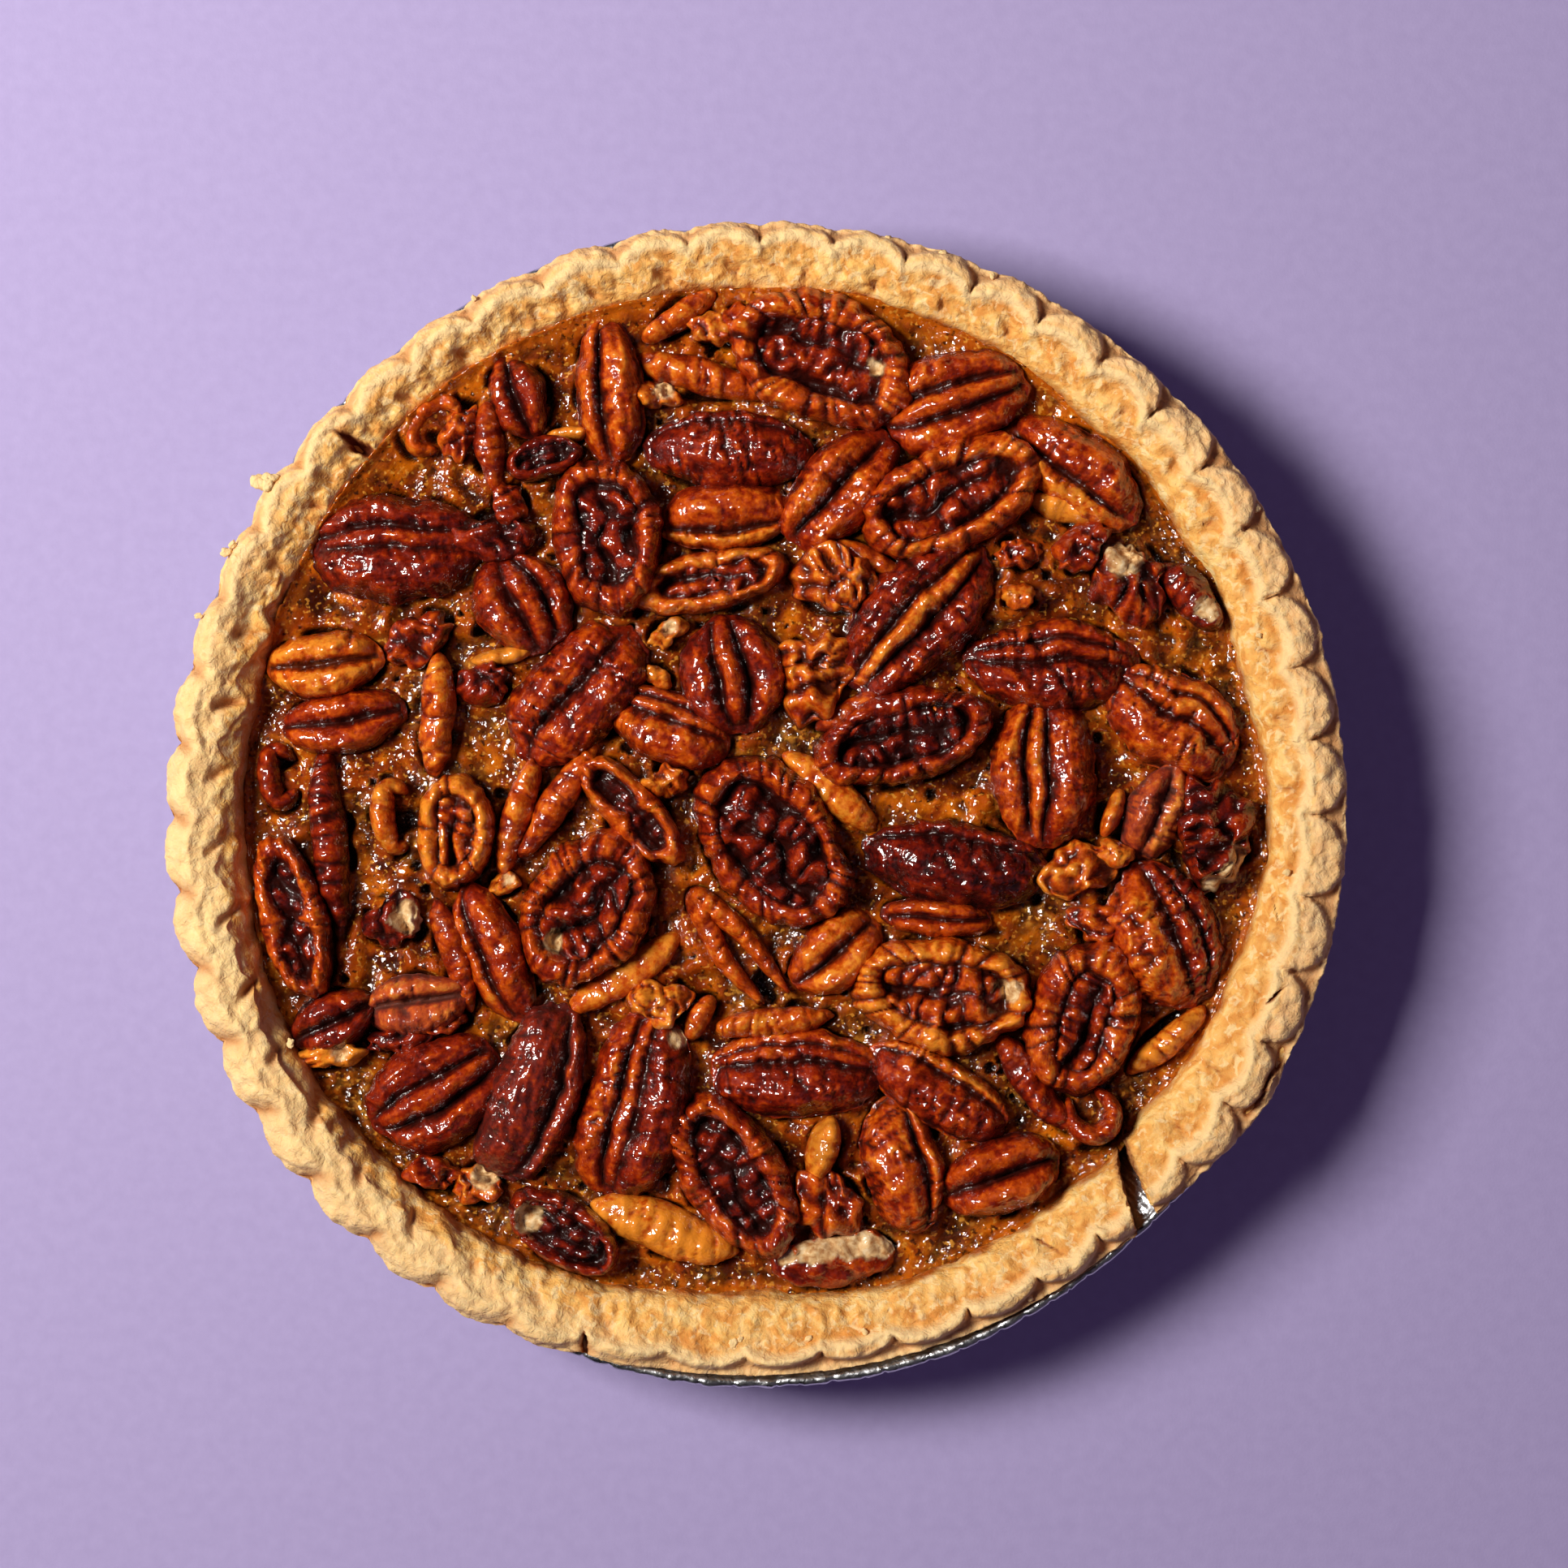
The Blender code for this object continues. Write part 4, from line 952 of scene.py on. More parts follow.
def make_nut(name, kind, middle, length, width, heading, look, seed):
    """One nut as a closed mesh, with its lobes' tone, painted shade in its hollows and its broken places painted cream.
    """
    heading = heading + math.radians(look.get("turn", 0))
    run, tube = length, width
    if kind == "hook":
        if look.get("apex") == "u":
            length, width, heading = width, length, heading - math.pi / 2
        tube = look.get("tube", 5.0)
        angles, steps, wide, deep = hook_line(length, width, tube, math.radians(look.get("curl", 230)))
        run = steps[-1] + tube
    piece, u, v, rise, shape = wrapped_sheet(name, run, tube)
    height = look.get("height", min(8.0, 3.6 + 0.24 * tube) + (0.6 if kind == "hook" else 0))
    top, orange, crease = TOPS[look.get("top", kind)](u, v, run, tube, look, seed)
    along, across = u * run / 2, v * tube / 2
    above = ease(rise, -0.02, 0.06)
    swing = 1 + look.get("ragged", 0.07) * noise(flat_points(along, across, seed + 5), 7, 140)
    swing = swing + 0.04 * noise(flat_points(along, across, seed + 6), 3, 144)
    if kind == "chunk":
        jags = 0.42 * noise(flat_points(u, v, seed), 0.85, 149) + 0.20 * noise(flat_points(u, v, seed), 0.4, 150)
        swing = swing + jags * look.get("lumps", 1.0)
    swing = swing + 0.05 * (billow(flat_points(along, across, seed + 6), 2.8, 148) - 0.25) * ease(rise, 0.7, 0.2)
    shift = min(1.6, 0.07 * run)
    along, across = (
        along * swing + shift * noise(flat_points(along, across, seed + 7), 16, 145) * above,
        across * swing * (1 + 0.10 * noise(flat_points(along, along * 0, seed + 8), 14, 146))
        + shift * 0.8 * noise(flat_points(along, along * 0, seed + 9), 15, 147),
    )
    level = NUT_MIDDLE + np.where(rise > 0, height * np.maximum(top, 0), UNDERSIDE * rise)
    pale = np.zeros(len(u))
    for place_u, place_v, size in look.get("pale", ()):
        away = np.hypot(along - place_u * run / 2, across - place_v * tube / 2)
        away = away + 0.9 * rough(flat_points(along, across, seed), 2.4, 141, 2)
        pale = np.maximum(pale, ease(away, size + 0.3, size - 0.3) * above)
    level = level - pale * (0.7 + 0.5 * rough(flat_points(along, across, seed), 1.6, 142, 2))
    cavity_shade = (blur(level.reshape(shape), 3) - level.reshape(shape)).ravel()
    across = across + look.get("bend", 0) * (1 - (2 * along / run) ** 2)
    if kind == "hook":
        angle = np.interp(along + steps[-1] / 2, steps, angles)
        past = along - np.clip(along, -steps[-1] / 2, steps[-1] / 2)
        x_out, y_out = np.sin(angle) * deep, np.cos(angle) * wide
        norm = np.hypot(x_out, y_out)
        line_x, line_y = wide * np.sin(angle), deep * np.cos(angle)
        along = line_x + across * x_out / norm + past * y_out / norm
        across = line_y + across * y_out / norm - past * x_out / norm - (deep + deep * math.cos(angles[-1])) / 2
    tip_u = look.get("tip_u", 0.9 * math.sin(seed * 7.3))
    tip_v = look.get("tip_v", 0.9 * math.sin(seed * 4.1 + 1))
    level = level + tip_u * along / length * 2 + tip_v * across / width * 2
    level = level + CUSTARD_LEVEL + look.get("lift", 0.7 * math.sin(seed * 9.7))
    x = middle[0] + along * math.cos(heading) - across * math.sin(heading)
    y = middle[1] + along * math.sin(heading) + across * math.cos(heading)
    place_points(piece, np.stack([x, y, level], 1))
    broad = noise(np.stack([x, y, level], 1), 9, 143) * 0.10
    paint(piece, "tone", look.get("tone", 0.45) + orange + broad)
    # Painted shade: hollows, creases and the underside are darkened and lose their gloss.
    paint(piece, "cavity_shade", np.clip(cavity_shade / 0.6, 0, 1) + 0.6 * crease * above + (1 - above))
    paint(piece, "crest", np.clip(-cavity_shade / 0.55, 0, 1) * above)
    paint(piece, "pale", pale)
    paint(piece, "dull", np.full(len(u), look.get("dull", 0.0)))
    close_edges(piece)
    return piece


print("hook line of a 17 mm hook:", round(hook_line(17, 10, 5, 4)[1][-1], 1), "mm")

# %% What each pecan looks like, by its solid's number
LOOKS = {
    1: {"tone": 0.25, "lobes": [(0.68, 0.34, 0.75), (0.2, 0.25, 0.85), (-0.42, 0.56, 1.0)], "cracks": 0.3},
    2: {"tone": 0.5, "lobes": [(0.62, 0.36, 0.85), (-0.3, 0.62, 1.0)], "cracks": 0.3, "bend": 0.8},
    3: {"tone": 0.28, "open": 1, "ridge_tall": 0.35},
    4: {"tone": 0.35, "lobes": [(-0.75, 0.3, 0.6), (-0.15, 0.34, 0.9), (0.52, 0.48, 1.0)], "cracks": 0.3},
    5: {"tone": 0.68, "lobes": TWO_LOBES, "cracks": 1.0, "pitch": 1.3},
    6: {"tone": 0.36, "lobes": TWO_LOBES, "cracks": 0.3},
    7: {"tone": 0.2, "tube": 5.2, "curl": 230, "turn": -6},
    8: {"tone": 0.22, "cracks": 0.9, "bend": 1.0},
    9: {"tone": 0.6, "tube": 5.4, "curl": 215},
    10: {"tone": 0.6, "rope": 0.16, "ridge_tall": 0.6},
    11: {"tone": 0.36, "rope": 0.19, "ridge_tall": 0.2},
    12: {"tone": 0.38, "lobes": [(0.7, 0.3, 0.7, 0.12), (-0.25, 0.7, 1.0)], "cracks": 0.3},
    13: {"tone": 0.35, "pale": [(-0.55, 0.2, 1.6)], "ridge_tall": 0.6},
    14: {"tone": 0.38, "rope": 0.2, "ridge_tall": 0.15},
    15: {"tone": 0.3, "ridge_tall": 0.5, "rope": 0.10},
    16: {"tone": 0.7, "cracks": 0.3, "height": 5.5},
    17: {"tone": 0.22, "rope": 0.13},
    18: {"tone": 0.28, "lobes": [(-0.62, 0.42, 0.95, 0.0), (0.0, 0.26, 0.95, 0.35), (0.6, 0.42, 0.9, -0.05)], "cracks": 0.5},
    19: {"tone": 0.6, "cracks": 0.9},
    20: {"tone": 0.62},
    21: {"tone": 0.3, "lobes": THREE_LOBES, "cracks": 0.3},
    22: {"tone": 0.48, "lobes": BIG_BELOW, "cracks": 0.5},
    23: {"tone": 0.34, "lobes": [(0.52, 0.48, 0.9, 0.05), (-0.42, 0.58, 1.0)], "cracks": 0.8},
    24: {"tone": 0.5, "rope": 0.19},
    25: {"tone": 0.45, "lobes": [(0.27, 0.72, 1.0), (-0.74, 0.28, 0.65, 0.2)], "cracks": 0.4},
    26: {"tone": 0.28, "lobes": FAT_LOBE, "cracks": 1.0},
    27: {"tone": 0.46, "lobes": [(-0.46, 0.52, 1.0), (0.5, 0.48, 0.92)], "cracks": 0.4},
    28: {"tone": 0.42, "ridge_tall": 0.4},
    29: {"tone": 0.45, "lobes": THREE_LOBES, "cracks": 0.15},
    30: {"tone": 0.42, "pale": [(0.55, 0.2, 1.7)], "rope": 0.12, "ridge_tall": 0.3},
    31: {"tone": 0.45, "lobes": [(0.3, 0.68, 1.0), (-0.62, 0.36, 0.8, 0.2)], "cracks": 0.5},
    32: {"tone": 0.35, "pale": [(0.45, -0.1, 4.2)]},
    33: {"tone": 0.26, "lobes": [(0.8, 0.24, 0.6, 0.12), (0.36, 0.26, 0.8, 0.05), (-0.4, 0.6, 1.0)], "cracks": 1.0},
    34: {"tone": 0.48, "lobes": [(0.8, 0.25, 0.6, 0.1), (0.36, 0.28, 0.8, 0.05), (-0.4, 0.6, 1.0)], "cracks": 0.9},
    35: {"tone": 0.42, "lobes": [(0.68, 0.32, 0.8, 0.12), (0.14, 0.22, 0.88, 0.12), (-0.48, 0.5, 1.0)], "cracks": 0.35},
    36: {"tone": 0.4, "dull": 0.5, "cracks": 1.0, "top": "back", "lobes": [(-0.45, 0.52, 0.8, 0.25), (0.45, 0.55, 1.0)]},
    37: {"tone": 0.2, "pale": [(-0.3, -0.6, 2.4), (-0.6, -0.3, 2.2), (-0.75, 0.2, 2.0)]},
    38: {"tone": 0.1, "lobes": [(0.82, 0.24, 0.6, 0.1), (-0.12, 0.84, 1.0)], "cracks": 0.6, "height": 7.5},
    39: {"tone": 0.58, "pale": [(0.72, 0.12, 2.2)], "ridge_tall": 0.6},
    40: {"tone": 0.58, "lobes": TWO_LOBES, "cracks": 0.3},
    41: {"tone": 0.45, "apex": "u", "tube": 5.4, "curl": 200},
    42: {"tone": 0.7, "cracks": 0.2, "height": 4.2},
    43: {"tone": 0.34, "lobes": [(0.68, 0.34, 0.85, 0.1), (0.14, 0.24, 0.8, 0.1), (-0.44, 0.54, 1.0, -0.08)],
         "pale": [(0.8, -0.4, 1.8)], "cracks": 0.6},
    44: {"tone": 0.2, "lobes": [(0.26, 0.75, 1.0), (-0.76, 0.28, 0.6, 0.1)], "cracks": 0.4, "dull": 0.15, "lift": 1.0},
    45: {"tone": 0.3, "lobes": THREE_LOBES, "cracks": 0.1},
    46: {"tone": 0.46, "dull": 0.5, "cracks": 1.0, "top": "back", "lobes": [(-0.4, 0.6, 1.0), (0.6, 0.4, 0.8, 0.1)]},
    47: {"tone": 0.2, "lobes": TWO_LOBES, "cracks": 0.9},
    48: {"tone": 0.08, "pale": [(-0.6, -0.2, 2.8)]},
    49: {"tone": 0.9, "cracks": 0.35},
    50: {"tone": 0.28, "open": 1, "rope": 0.14, "ridge_tall": 0.3},
    51: {"tone": 0.24, "lobes": [(0.82, 0.24, 0.6, 0.25), (0.46, 0.22, 0.75, 0.1), (-0.3, 0.66, 1.0)], "cracks": 0.9},
    52: {"tone": 0.5, "lobes": [(0.2, 0.76, 1.0), (-0.78, 0.27, 0.7)], "cracks": 0.9},
    53: {"tone": 0.34, "lobes": [(0.78, 0.27, 0.65, 0.25), (-0.15, 0.76, 1.0)], "cracks": 0.9},
    54: {"tone": 0.4, "lobes": TWO_LOBES, "cracks": 0.2},
    55: {"tone": 0.42, "rope": 0.15, "ridge_tall": 0.65},
    56: {"tone": 0.44, "lobes": [(0.36, 0.62, 1.0, 0.12), (-0.42, 0.26, 0.8, -0.1), (-0.82, 0.24, 0.6, -0.1)], "cracks": 0.9},
    57: {"tone": 0.34, "facets": 0.1, "lumps": 0.3, "cracks": 0.1, 
         "pale": [(-0.7, 0.3, 2.0), (-0.4, 0.42, 2.6), (-0.1, 0.48, 3.0), (0.2, 0.48, 3.0), (0.5, 0.42, 2.8), (0.75, 0.3, 2.2)]},
}
print("looks for", len(LOOKS), "pecans")

# %% Small pieces: kind, middle, length, width, heading, tone and how pale its broken end is
SMALL = [
    ("finger", -56.5, 76, 17, 6, 95, 0.4, 0), ("hook", -69, 80, 15, 9, 50, 0.45, 0), ("chunk", -62, 79, 11, 7, 75, 0.5, 0),
    ("back", -50, 86, 17, 11, 110, 0.25, 0), ("face", -45, 73, 15, 8, 15, 0.0, 0), ("finger", -40, 78, 9, 3, 5, 0.7, 0),
    ("chunk", -55, 57, 14, 9, 0, 0.15, 0), ("finger", -67.5, 18, 25, 7, 88, 0.6, 0), ("chunk", -57, 26, 10, 8, 20, 0.2, 0),
    ("finger", -54, 31, 12, 3.5, 10, 0.8, 0), ("finger", -50.5, -3, 23, 5.5, 72, 0.55, 0), ("finger", -42, 1, 26, 6, 57, 0.5, 0),
    ("chunk", -53.5, -17, 6.5, 4, 20, 0.62, 1), ("chunk", -76, -25, 12, 10, 0, 0.1, 1), ("finger", -64, -32, 22, 5.5, 108, 0.4, 0),
    ("chunk", -19, 36, 7, 4.5, 35, 0.66, 1), ("finger", -12.5, 90, 25, 7, -12, 0.5, 0), ("chunk", -21, 86, 9, 6, 15, 0.6, 1),
    ("finger", -16, 103, 17, 5, 38, 0.55, 0), ("chunk", -10, 100, 8, 6, 0, 0.7, 0), ("chunk", -5, 101, 8, 6, 40, 0.35, 0),
    ("finger", 66, 62, 13, 5, -20, 0.8, 0), ("chunk", 69, 54, 13, 7, 40, 0.3, 0), ("finger", 92, 43, 17, 7, -55, 0.15, 1),
    ("chunk", 55, 53, 9, 6, 0, 0.4, 0), ("chunk", 55, 44, 5.5, 4.5, 0, 0.5, 0), ("finger", 75, -2, 10, 4, 68, 0.6, 0),
    ("chunk", 76, -10, 8, 5, -30, 0.65, 0), ("chunk", 68, -14, 12, 11, 0, 0.7, 0), ("back", 38, -24, 22, 8, -3, 0.4, 0),
    ("chunk", -20, -42, 13, 9, 0, 0.75, 0), ("finger", -12, -45, 9, 5, 60, 0.5, 0), ("chunk", -76, -50, 12, 6, 5, 0.15, 0),
    ("chunk", -65, -46, 8, 4, 10, 0.3, 0), ("chunk", -90, -53, 12, 4.5, 10, 0.7, 1), ("chunk", -68, -78, 11, 6, 0, 0.3, 0),
    ("chunk", -59, -80, 11, 8, 20, 0.6, 1), ("finger", 4, -46, 25, 6, 8, 0.55, 0), ("finger", 14, -73, 13, 6, 78, 0.75, 0),
    ("chunk", 15, -84, 12, 11, 0, 0.5, 0), ("finger", 86, -50, 19, 5.5, 42, 0.7, 0), ("finger", 58.5, -59, 24, 6.5, -50, 0.3, 0),
    ("hook", 70.5, -67, 13, 11, 200, 0.3, 0), ("chunk", 72, -25, 12, 8, 0, 0.5, 0), ("chunk", -21, 27, 5.5, 3.5, -30, 0.6, 0),
    ("chunk", -19.5, 4.5, 9.5, 6.5, 25, 0.6, 0), ("chunk", 40, 21, 7, 4.5, 50, 0.6, 0), ("chunk", -71, 35, 14, 8, 40, 0.32, 0),
    ("chunk", -52, 63, 9, 6, 100, 0.3, 0), ("finger", 24, 51.5, 16, 4, -28, 0.5, 0), ("finger", 20.5, 20, 16, 5, 28, 0.4, 0),
]
NUT_PLACES = list(PLACES.values()) + [((x, y), length, width, math.radians(turn)) for _, x, y, length, width, turn, *_ in SMALL]
print("small pieces:", len(SMALL))

# %% [markdown]
# ## The custard
# Pecan pie filling is sugar syrup and egg. It boils as it bakes, so its skin is full of fine bubbles, small
# craters where bubbles burst, and smooth wet places. It sticks to the nuts and climbs their sides. A grid
# stretched to the round keeps its squares even all over, which a disc made of rings would not, so the
# bubbles come out equally sharp everywhere.

# %% Stretch a square sheet to the round
CUSTARD_FACES = 308
CUSTARD_LIP = 0.986

custard = add_sheet("custard_set", CUSTARD_FACES, CUSTARD_FACES)
disc = to_round(points_of(custard)[:, :2])
share = np.hypot(disc[:, 0], disc[:, 1])
turn_degrees = np.degrees(np.arctan2(disc[:, 1], disc[:, 0])) % 360
rim_radius = inner_edge(turn_degrees) + 1.0
flat_share = np.minimum(share / CUSTARD_LIP, 1)
stretch = np.where(share > 0, flat_share / np.maximum(share, 1e-9), 1) * rim_radius
place = np.stack([disc[:, 0] * stretch, disc[:, 1] * stretch, disc[:, 0] * 0], 1)
print("custard sheet one point every", round(2 * 106 / CUSTARD_FACES, 2), "mm")

# %% Raise it at the nuts and the crust, and cover it with bubbles and craters
nearest = np.full(len(place), 99.0)
for middle, length, width, heading in NUT_PLACES:
    nearest = np.minimum(nearest, beside(place, middle, length, width, heading))
swell = 0.5 * rough(place, 15, 80, 2)
drowned_here = ease(noise(place, 11, 92), -0.25, 0.2)
fold = np.abs(noise(place * np.array([1, 0.6, 1]), 5.5, 93)) + np.abs(noise(place * np.array([0.55, 1, 1]), 5, 94))
drowned = drowned_here * ease(nearest, 0, 1.5) * ease(np.hypot(place[:, 0], place[:, 1]), 101, 97)
swell = swell + 2.9 * drowned * np.clip(fold - 0.22, 0, 0.75)
climb = 1.5 * np.exp(-np.maximum(nearest, 0) / 1.3) * (0.6 + 0.6 * ease(noise(place, 7, 81), -0.4, 0.5))
at_crust = 1.5 * ease(flat_share, 0.982, 1.0) + 0.3 * ease(flat_share, 0.93, 1.0)
at_crust = at_crust + 4.0 * shallow(turn_degrees) * ease(flat_share, 0.89, 1.0)
foam_patch = ease(noise(place, 16, 82) + 0.5 * noise(place, 6, 83), -0.35, 0.3)
big, big_next = cells(place, 2.5, 84)
small, small_next = cells(place, 1.25, 86)
dome = np.sqrt(np.clip(1 - (big / 0.55) ** 2, 0, 1)) * 0.40 + np.sqrt(np.clip(1 - (small / 0.6) ** 2, 0, 1)) * 0.20
level = CUSTARD_LEVEL + swell + climb + at_crust + dome * (0.35 + 0.65 * foam_patch)
level += 0.22 * noise(place, 1.7, 88) + 0.12 * noise(place, 0.9, 89)
luck = np.random.default_rng(90)
craters = np.zeros(len(place))
made = 0
while made < 90:
    spot = np.array([luck.uniform(-103, 103), luck.uniform(-103, 103)])
    size = luck.uniform(0.4, 1.0) ** 2 * 1.6
    gap_left = min(beside(spot[None, :], *nut)[0] for nut in NUT_PLACES)
    if np.hypot(*spot) < 99 and 0.2 < gap_left < 5:
        away = np.hypot(place[:, 0] - spot[0], place[:, 1] - spot[1]) / size
        craters = np.maximum(craters, ease(away, 1.05, 0.65))
        level += 0.35 * np.exp(-(((away - 1.25) / 0.25) ** 2))
        made += 1
level -= 2.3 * craters
dip_near_nut = ease(nearest, 1.9, 0.2) * ease(noise(place, 6, 91), -0.15, 0.25)
level -= 3.4 * dip_near_nut
skirt = ease(share, CUSTARD_LIP, 1.0)
level = np.where(share > CUSTARD_LIP, np.minimum(level, CUSTARD_LEVEL) - 1.8 * skirt, level)
place[:, 2] = level
place_points(custard, place)
grid_level = level.reshape(CUSTARD_FACES + 1, CUSTARD_FACES + 1)
# Painted shade: the custard is darkened in its hollows.
hollow_shade = (blur(grid_level, 3) - grid_level).ravel()
paint(custard, "hollow_shade", hollow_shade / 0.6)
# Painted shade: darkened in the craters and the dips beside the nuts.
paint(custard, "crater_shade", np.clip(craters + 0.8 * dip_near_nut, 0, 1))
thin_here = shallow(turn_degrees) * ease(flat_share, 0.74, 0.92)
paint(custard, "foam", foam_patch * (1 - 0.7 * drowned) * (1 - 0.8 * thin_here))
paint(custard, "drowned", drowned * np.clip(fold * 1.3 - 0.2, 0, 1))
paint(custard, "by_nut", np.exp(-np.maximum(nearest, 0) / 1.5))
paint(custard, "by_crust", ease(flat_share, 0.955, 0.99))
print("craters:", made)

# %% Give it depth: down the crust's wall to the bottom crust
clear_selection()
custard.select_set(True)
bpy.context.view_layer.objects.active = custard
bpy.ops.object.mode_set(mode="EDIT")
bpy.ops.mesh.select_mode(type="EDGE")
bpy.ops.mesh.select_all(action="DESELECT")
bpy.ops.mesh.select_non_manifold(extend=False, use_wire=False, use_multi_face=False, use_verts=False)
bpy.ops.mesh.extrude_region_move(TRANSFORM_OT_translate={"value": (0, 0, (CUSTARD_FLOOR - CUSTARD_LEVEL + 2) * MM)})
bpy.ops.transform.resize(value=(0.80, 0.80, 0.02), center_override=(0, 0, CUSTARD_FLOOR * MM))
bpy.ops.object.mode_set(mode="OBJECT")
close_edges(custard)

# %% [markdown]
# ### Set syrup
# The syrup is brown amber and clear, so it is dark where it is deep and orange where it is thin. Foam on top
# makes it greyer and olive. Hollows, craters, the dips beside the nuts, pinholes and the seams between bubbles
# are painted dark as shade, and small light specks are painted glints. Its skin is very glossy and finely
# pitted, which gives hundreds of small glints: a smooth coat over a rough bump does that.

# %% Custard finish
syrup = Finish("set_syrup", Coat_Weight=0.9, Coat_Roughness=0.07, Coat_IOR=1.6, Specular_IOR_Level=0.05)
syrup.shader.inputs["Subsurface Weight"].default_value = 0.10
syrup.shader.inputs["Subsurface Radius"].default_value = (1.0, 0.35, 0.10)
syrup.shader.inputs["Subsurface Scale"].default_value = 0.002
amber = syrup.ramp(syrup.speckle(7, 4, 0.8), (0.36, colour(58, 15, 2)), (0.50, colour(142, 54, 3)),
                   (0.64, colour(216, 112, 8)))
foam = syrup.ramp(syrup.speckle(3, 4, 0.6), (0.34, colour(54, 18, 3)), (0.52, colour(126, 62, 8)),
                  (0.68, colour(176, 126, 46)))
tint = syrup.blend(syrup.sums("MULTIPLY", syrup.painted("foam"), 0.82), amber, foam)
tint = syrup.blend(syrup.sums("MULTIPLY", syrup.painted("by_nut"), 0.45), tint, colour(146, 48, 2))
tint = syrup.blend(syrup.sums("MULTIPLY", syrup.painted("by_crust"), 0.75), tint, colour(198, 96, 12))
tint = syrup.blend(syrup.sums("MULTIPLY", syrup.painted("drowned"), 0.6), tint, colour(178, 72, 8))
# Painted shade: darker in the seams between foam bubbles.
shade_between_bubbles = syrup.ramp(syrup.pebbles(1.7), (0.35, 0.0), (0.75, 0.75))
tint = syrup.blend(syrup.sums("MULTIPLY", shade_between_bubbles, syrup.painted("foam")), tint, colour(44, 14, 3))
# Painted shade: dark specks for tiny pinholes.
pinhole_shade = syrup.ramp(syrup.speckle(1.3, 2), (0.30, 0.85), (0.42, 0.0))
tint = syrup.blend(pinhole_shade, tint, colour(38, 12, 3))
# Painted glints: small light orange specks.
glint_specks = syrup.ramp(syrup.speckle(1.1, 1), (0.60, 0.0), (0.70, 0.7))
tint = syrup.blend(glint_specks, tint, colour(232, 158, 56))
# Painted shade in the hollows.
tint = syrup.blend(syrup.sums("MULTIPLY", syrup.painted("hollow_shade"), 0.85), tint, colour(36, 11, 3))
# Painted shade in the craters and the dips beside the nuts.
tint = syrup.blend(syrup.painted("crater_shade"), tint, colour(30, 9, 3))
pits = syrup.bump(syrup.speckle(0.8, 2), 0.15)
glaze = syrup.bump(syrup.pebbles(1.7), 0.40)
glaze = syrup.bump(syrup.speckle(2.6, 0.0, 0.5), 0.45, glaze)
glaze = syrup.bump(syrup.speckle(0.75, 0.0, 0.3), 0.13, glaze)
syrup.join(glaze, syrup.shader.inputs["Coat Normal"])
shine = syrup.ramp(syrup.speckle(2.2, 3), (0.35, 0.34), (0.65, 0.60))
into_place(custard, syrup.done(tint, shine, pits), "filling", "filling")

# %% [markdown]
# ### Glazed pecan skin
# Pecan skin is red-brown and more orange on its ridges, and the flesh that shows where a nut snapped is cream.
# Its hollows, creases and underside are painted dark as shade. Baked syrup leaves an uneven gloss over it with
# tiny sharp glints, but a nut that stood clear of the syrup stays dull. All that comes from the numbers painted
# on the points, so one finish does for every nut.

# %% Pecan finish
skin = Finish("glazed_pecan_skin", Coat_Roughness=0.08, Coat_IOR=1.75, Specular_IOR_Level=0.12)
drift = skin.sums("MULTIPLY", skin.sums("SUBTRACT", skin.speckle(3.2, 4, 0.8), 0.5), 0.75)
grain = skin.sums("MULTIPLY", skin.sums("SUBTRACT", skin.speckle(1.0, 3), 0.5), 0.55)
tone = skin.sums("ADD", skin.sums("ADD", skin.painted("tone"), drift), grain)
tone = skin.sums("ADD", tone, skin.sums("MULTIPLY", skin.painted("crest"), 0.26))
tint = skin.ramp(tone, (0.04, colour(46, 7, 7)), (0.28, colour(100, 15, 4)), (0.52, colour(148, 36, 3)),
                 (0.76, colour(204, 82, 7)), (1.0, colour(238, 142, 38)))
# Painted shade in the hollows, creases and underside.
tint = skin.blend(skin.sums("MULTIPLY", skin.painted("cavity_shade"), 0.90), tint, colour(36, 7, 3))
dusty = skin.blend(0.35, tint, colour(150, 92, 76))
tint = skin.blend(skin.painted("dull"), tint, dusty)
flesh = skin.ramp(skin.speckle(1.8, 4, 0.5), (0.32, colour(176, 118, 66)), (0.52, colour(222, 182, 126)),
                  (0.70, colour(240, 214, 168)))
tint = skin.blend(skin.painted("pale"), tint, flesh)
pimple = skin.bump(skin.speckle(0.7, 2), 0.13)
glaze = skin.bump(skin.speckle(0.8, 0.0, 0.3), 0.20)
glaze = skin.bump(skin.speckle(2.2, 0.0, 0.5), 0.46, glaze)
skin.join(glaze, skin.shader.inputs["Coat Normal"])
matt = skin.sums("MAXIMUM", skin.painted("dull"), skin.painted("pale"))
bare = skin.sums("ADD", skin.sums("MULTIPLY", matt, 0.72), skin.sums("MULTIPLY", skin.painted("cavity_shade"), 0.62))
skin.join(skin.sums("MAXIMUM", skin.sums("SUBTRACT", 0.95, bare), 0.04), skin.shader.inputs["Coat Weight"])
shine = skin.sums("ADD", skin.ramp(skin.speckle(2.0, 3), (0.35, 0.40), (0.68, 0.62)), skin.sums("MULTIPLY", matt, 0.3))
SKIN = skin.done(tint, shine, pimple)

# %% Make the pecans that the solids stand for
for node in PECAN_NODES:
    number = int(node[-2:])
    kind = node.split("_")[1]
    middle, length, width, heading = PLACES[number]
    length, width = length * NUT_GROWTH, width * NUT_GROWTH
    nut = make_nut(f"glazed_{kind}_{number:02d}", kind, middle, length, width, heading, LOOKS[number], number * 1.37)
    into_place(nut, SKIN, "pecan", node)

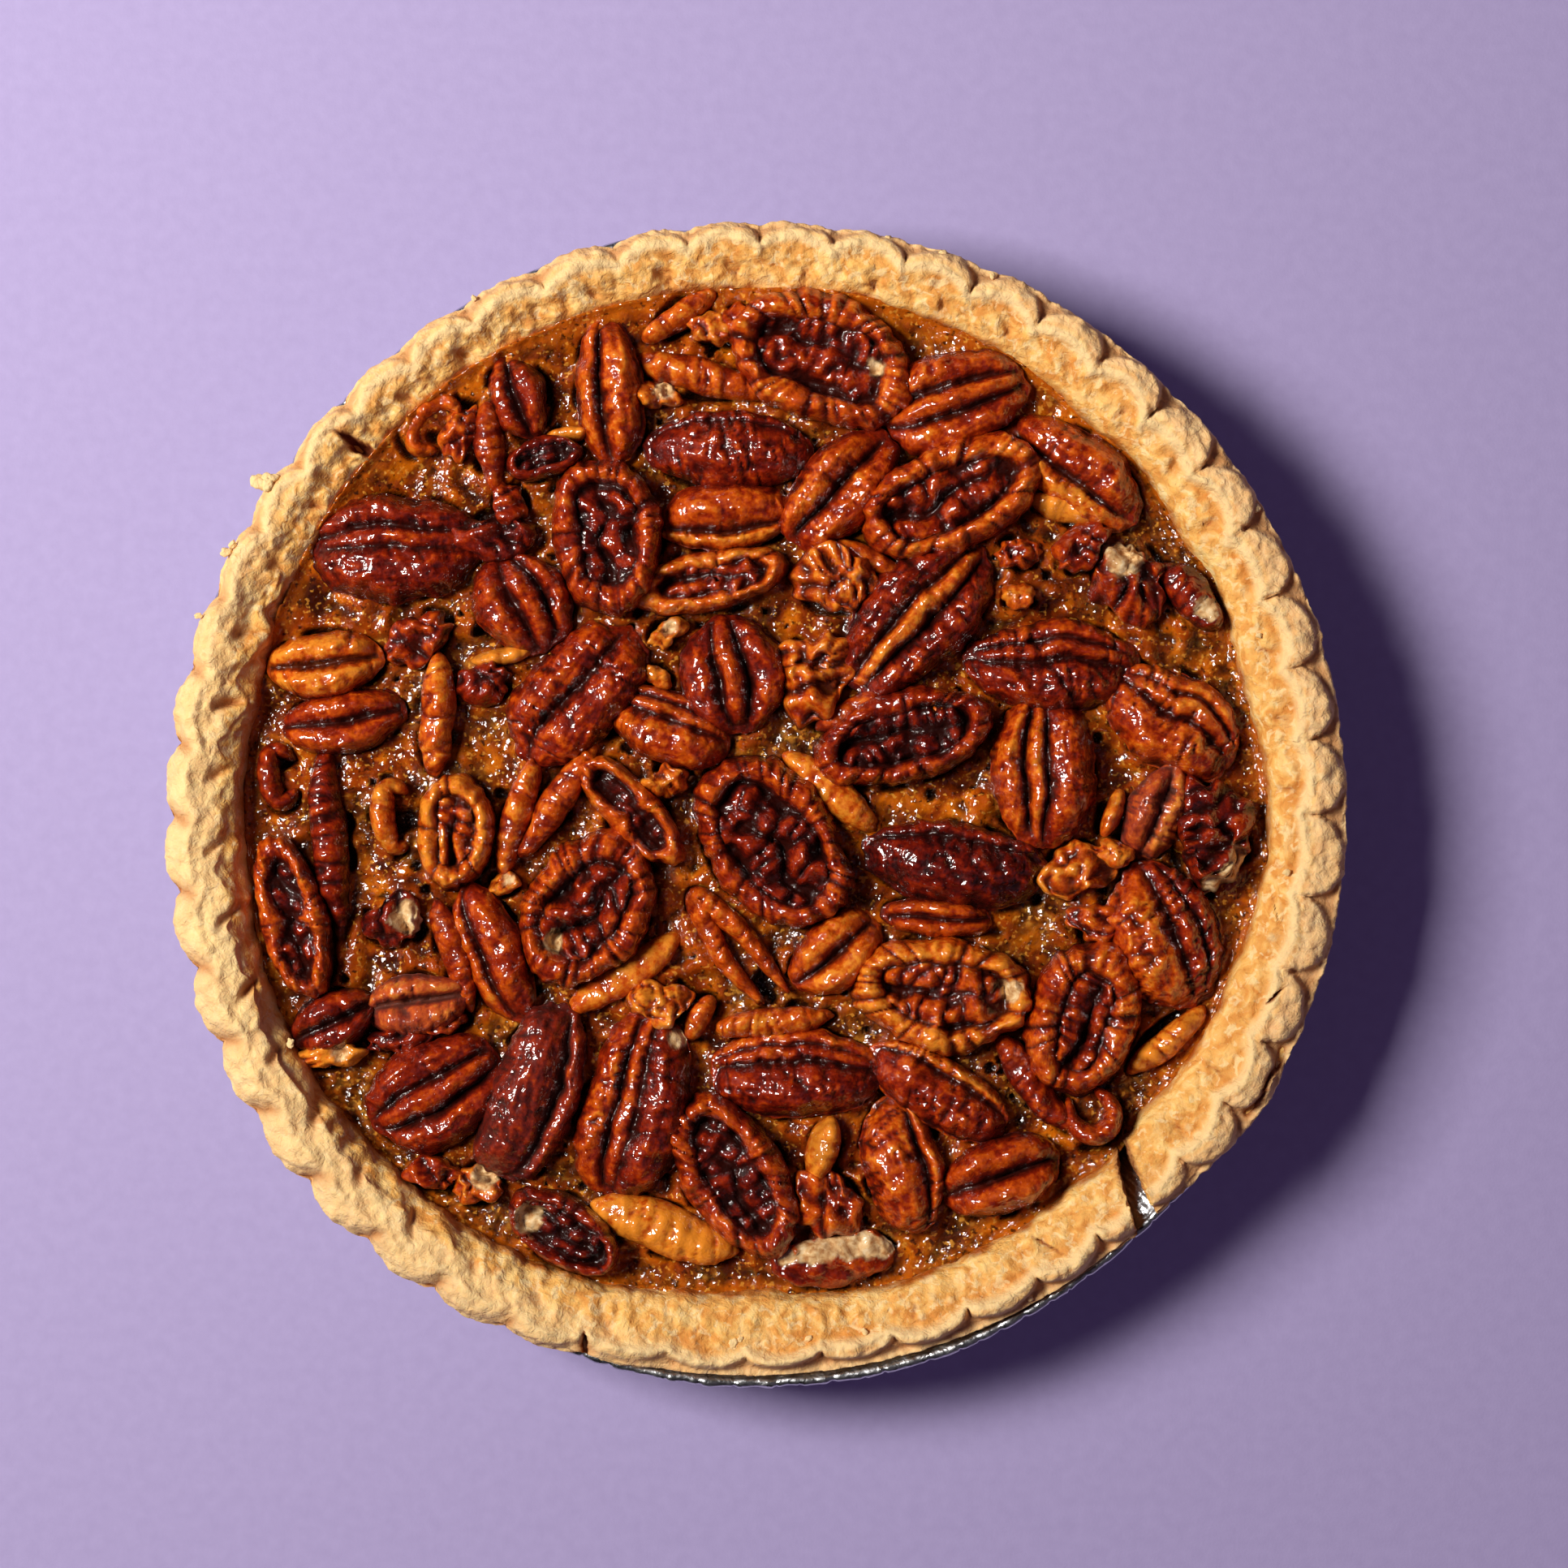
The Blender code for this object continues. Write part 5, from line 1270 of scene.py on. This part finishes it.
# %% Make the small pieces, and join them in four lots
lots = [[], [], [], []]
for index, (kind, x, y, length, width, turn_deg, tone_value, broken) in enumerate(SMALL):
    look = {"tone": tone_value, "cracks": 0.7, "rope": 0.16, "lobes": TWO_LOBES, "ragged": 0.2, "tube": 0.42 * width + 0.8}
    if broken:
        look["pale"] = [(0.35, 0.2, 0.30 * width + 0.3)]
    length, width = length * NUT_GROWTH, width * NUT_GROWTH
    look["height"] = min(6.0, 2.8 + 0.34 * width)
    bit = make_nut(f"bit_{index}", kind, (x, y), length, width, math.radians(turn_deg), look, index * 2.11 + 80)
    lots[(x > 0) + 2 * (y > 0)].append(bit)
for lot, name in zip(lots, ("bits_front_left", "bits_front_right", "bits_back_left", "bits_back_right")):
    clear_selection()
    for bit in lot:
        bit.select_set(True)
    bpy.context.view_layer.objects.active = lot[0]
    bpy.ops.object.join()
    lot[0].name = f"pecan_{name}"
    into_place(lot[0], SKIN, "pecan")

# %% [markdown]
# ## Flakes and crumbs
# Short pastry sheds thin flakes where it is crimped, and a few crumbs fall on the filling. Each is a small
# crumpled chip. They are joined in one piece, because nobody will ever move them one by one.

# %% Scatter the flakes: degrees, radius, level, size
FLAKES = [
    (146.4, 122.6, 34.6, 1.9), (147.1, 123.8, 34.6, 1.9), (146.9, 122.0, 35.2, 1.4), (153.7, 122.3, 34.6, 1.0),
    (154.6, 122.7, 34.6, 1.2), (71.3, 121.5, 33.4, 1.1), (65.9, 121.1, 33.6, 0.8), (76.9, 121.4, 33.2, 0.9),
    (161.4, 123.2, 34.8, 0.8), (30.6, 121.4, 34.0, 1.3), (119.2, 121.3, 33.6, 0.7), (267.5, 113.2, 33.6, 1.1),
    (268.3, 112.2, 33.5, 0.8), (269.0, 114.4, 34.2, 0.9), (281.6, 113.0, 33.5, 0.8), (299.0, 118.6, 32.8, 0.7),
    (275.6, 112.6, 33.4, 0.8), (352.6, 112.0, 33.6, 0.9), (18.5, 111.0, 33.4, 0.7), (207.2, 109.9, 32.5, 1.0),
]
chips = []
for index, (degrees, radius, level, size) in enumerate(FLAKES):
    clear_selection()
    bpy.ops.mesh.primitive_ico_sphere_add(subdivisions=3, radius=1)
    chip = bpy.context.object
    ball = points_of(chip)
    ball = ball * (1 + 0.45 * noise(ball + index * 3.3, 0.9, 150)[:, None] + 0.2 * noise(ball + index, 0.4, 151)[:, None])
    ball = ball * size * np.array([1.0, 0.75, 0.42])
    spin = index * 2.4
    x = ball[:, 0] * math.cos(spin) - ball[:, 1] * math.sin(spin) + radius * math.cos(math.radians(degrees))
    y = ball[:, 0] * math.sin(spin) + ball[:, 1] * math.cos(spin) + radius * math.sin(math.radians(degrees))
    place_points(chip, np.stack([x, y, ball[:, 2] + level], 1))
    paint(chip, "pale", np.ones(len(ball)))
    chips.append(chip)
clear_selection()
for chip in chips:
    chip.select_set(True)
bpy.context.view_layer.objects.active = chips[0]
bpy.ops.object.join()
chips[0].name = "crust_flakes"
bpy.ops.object.shade_smooth()
into_place(chips[0], PASTRY, "crust")
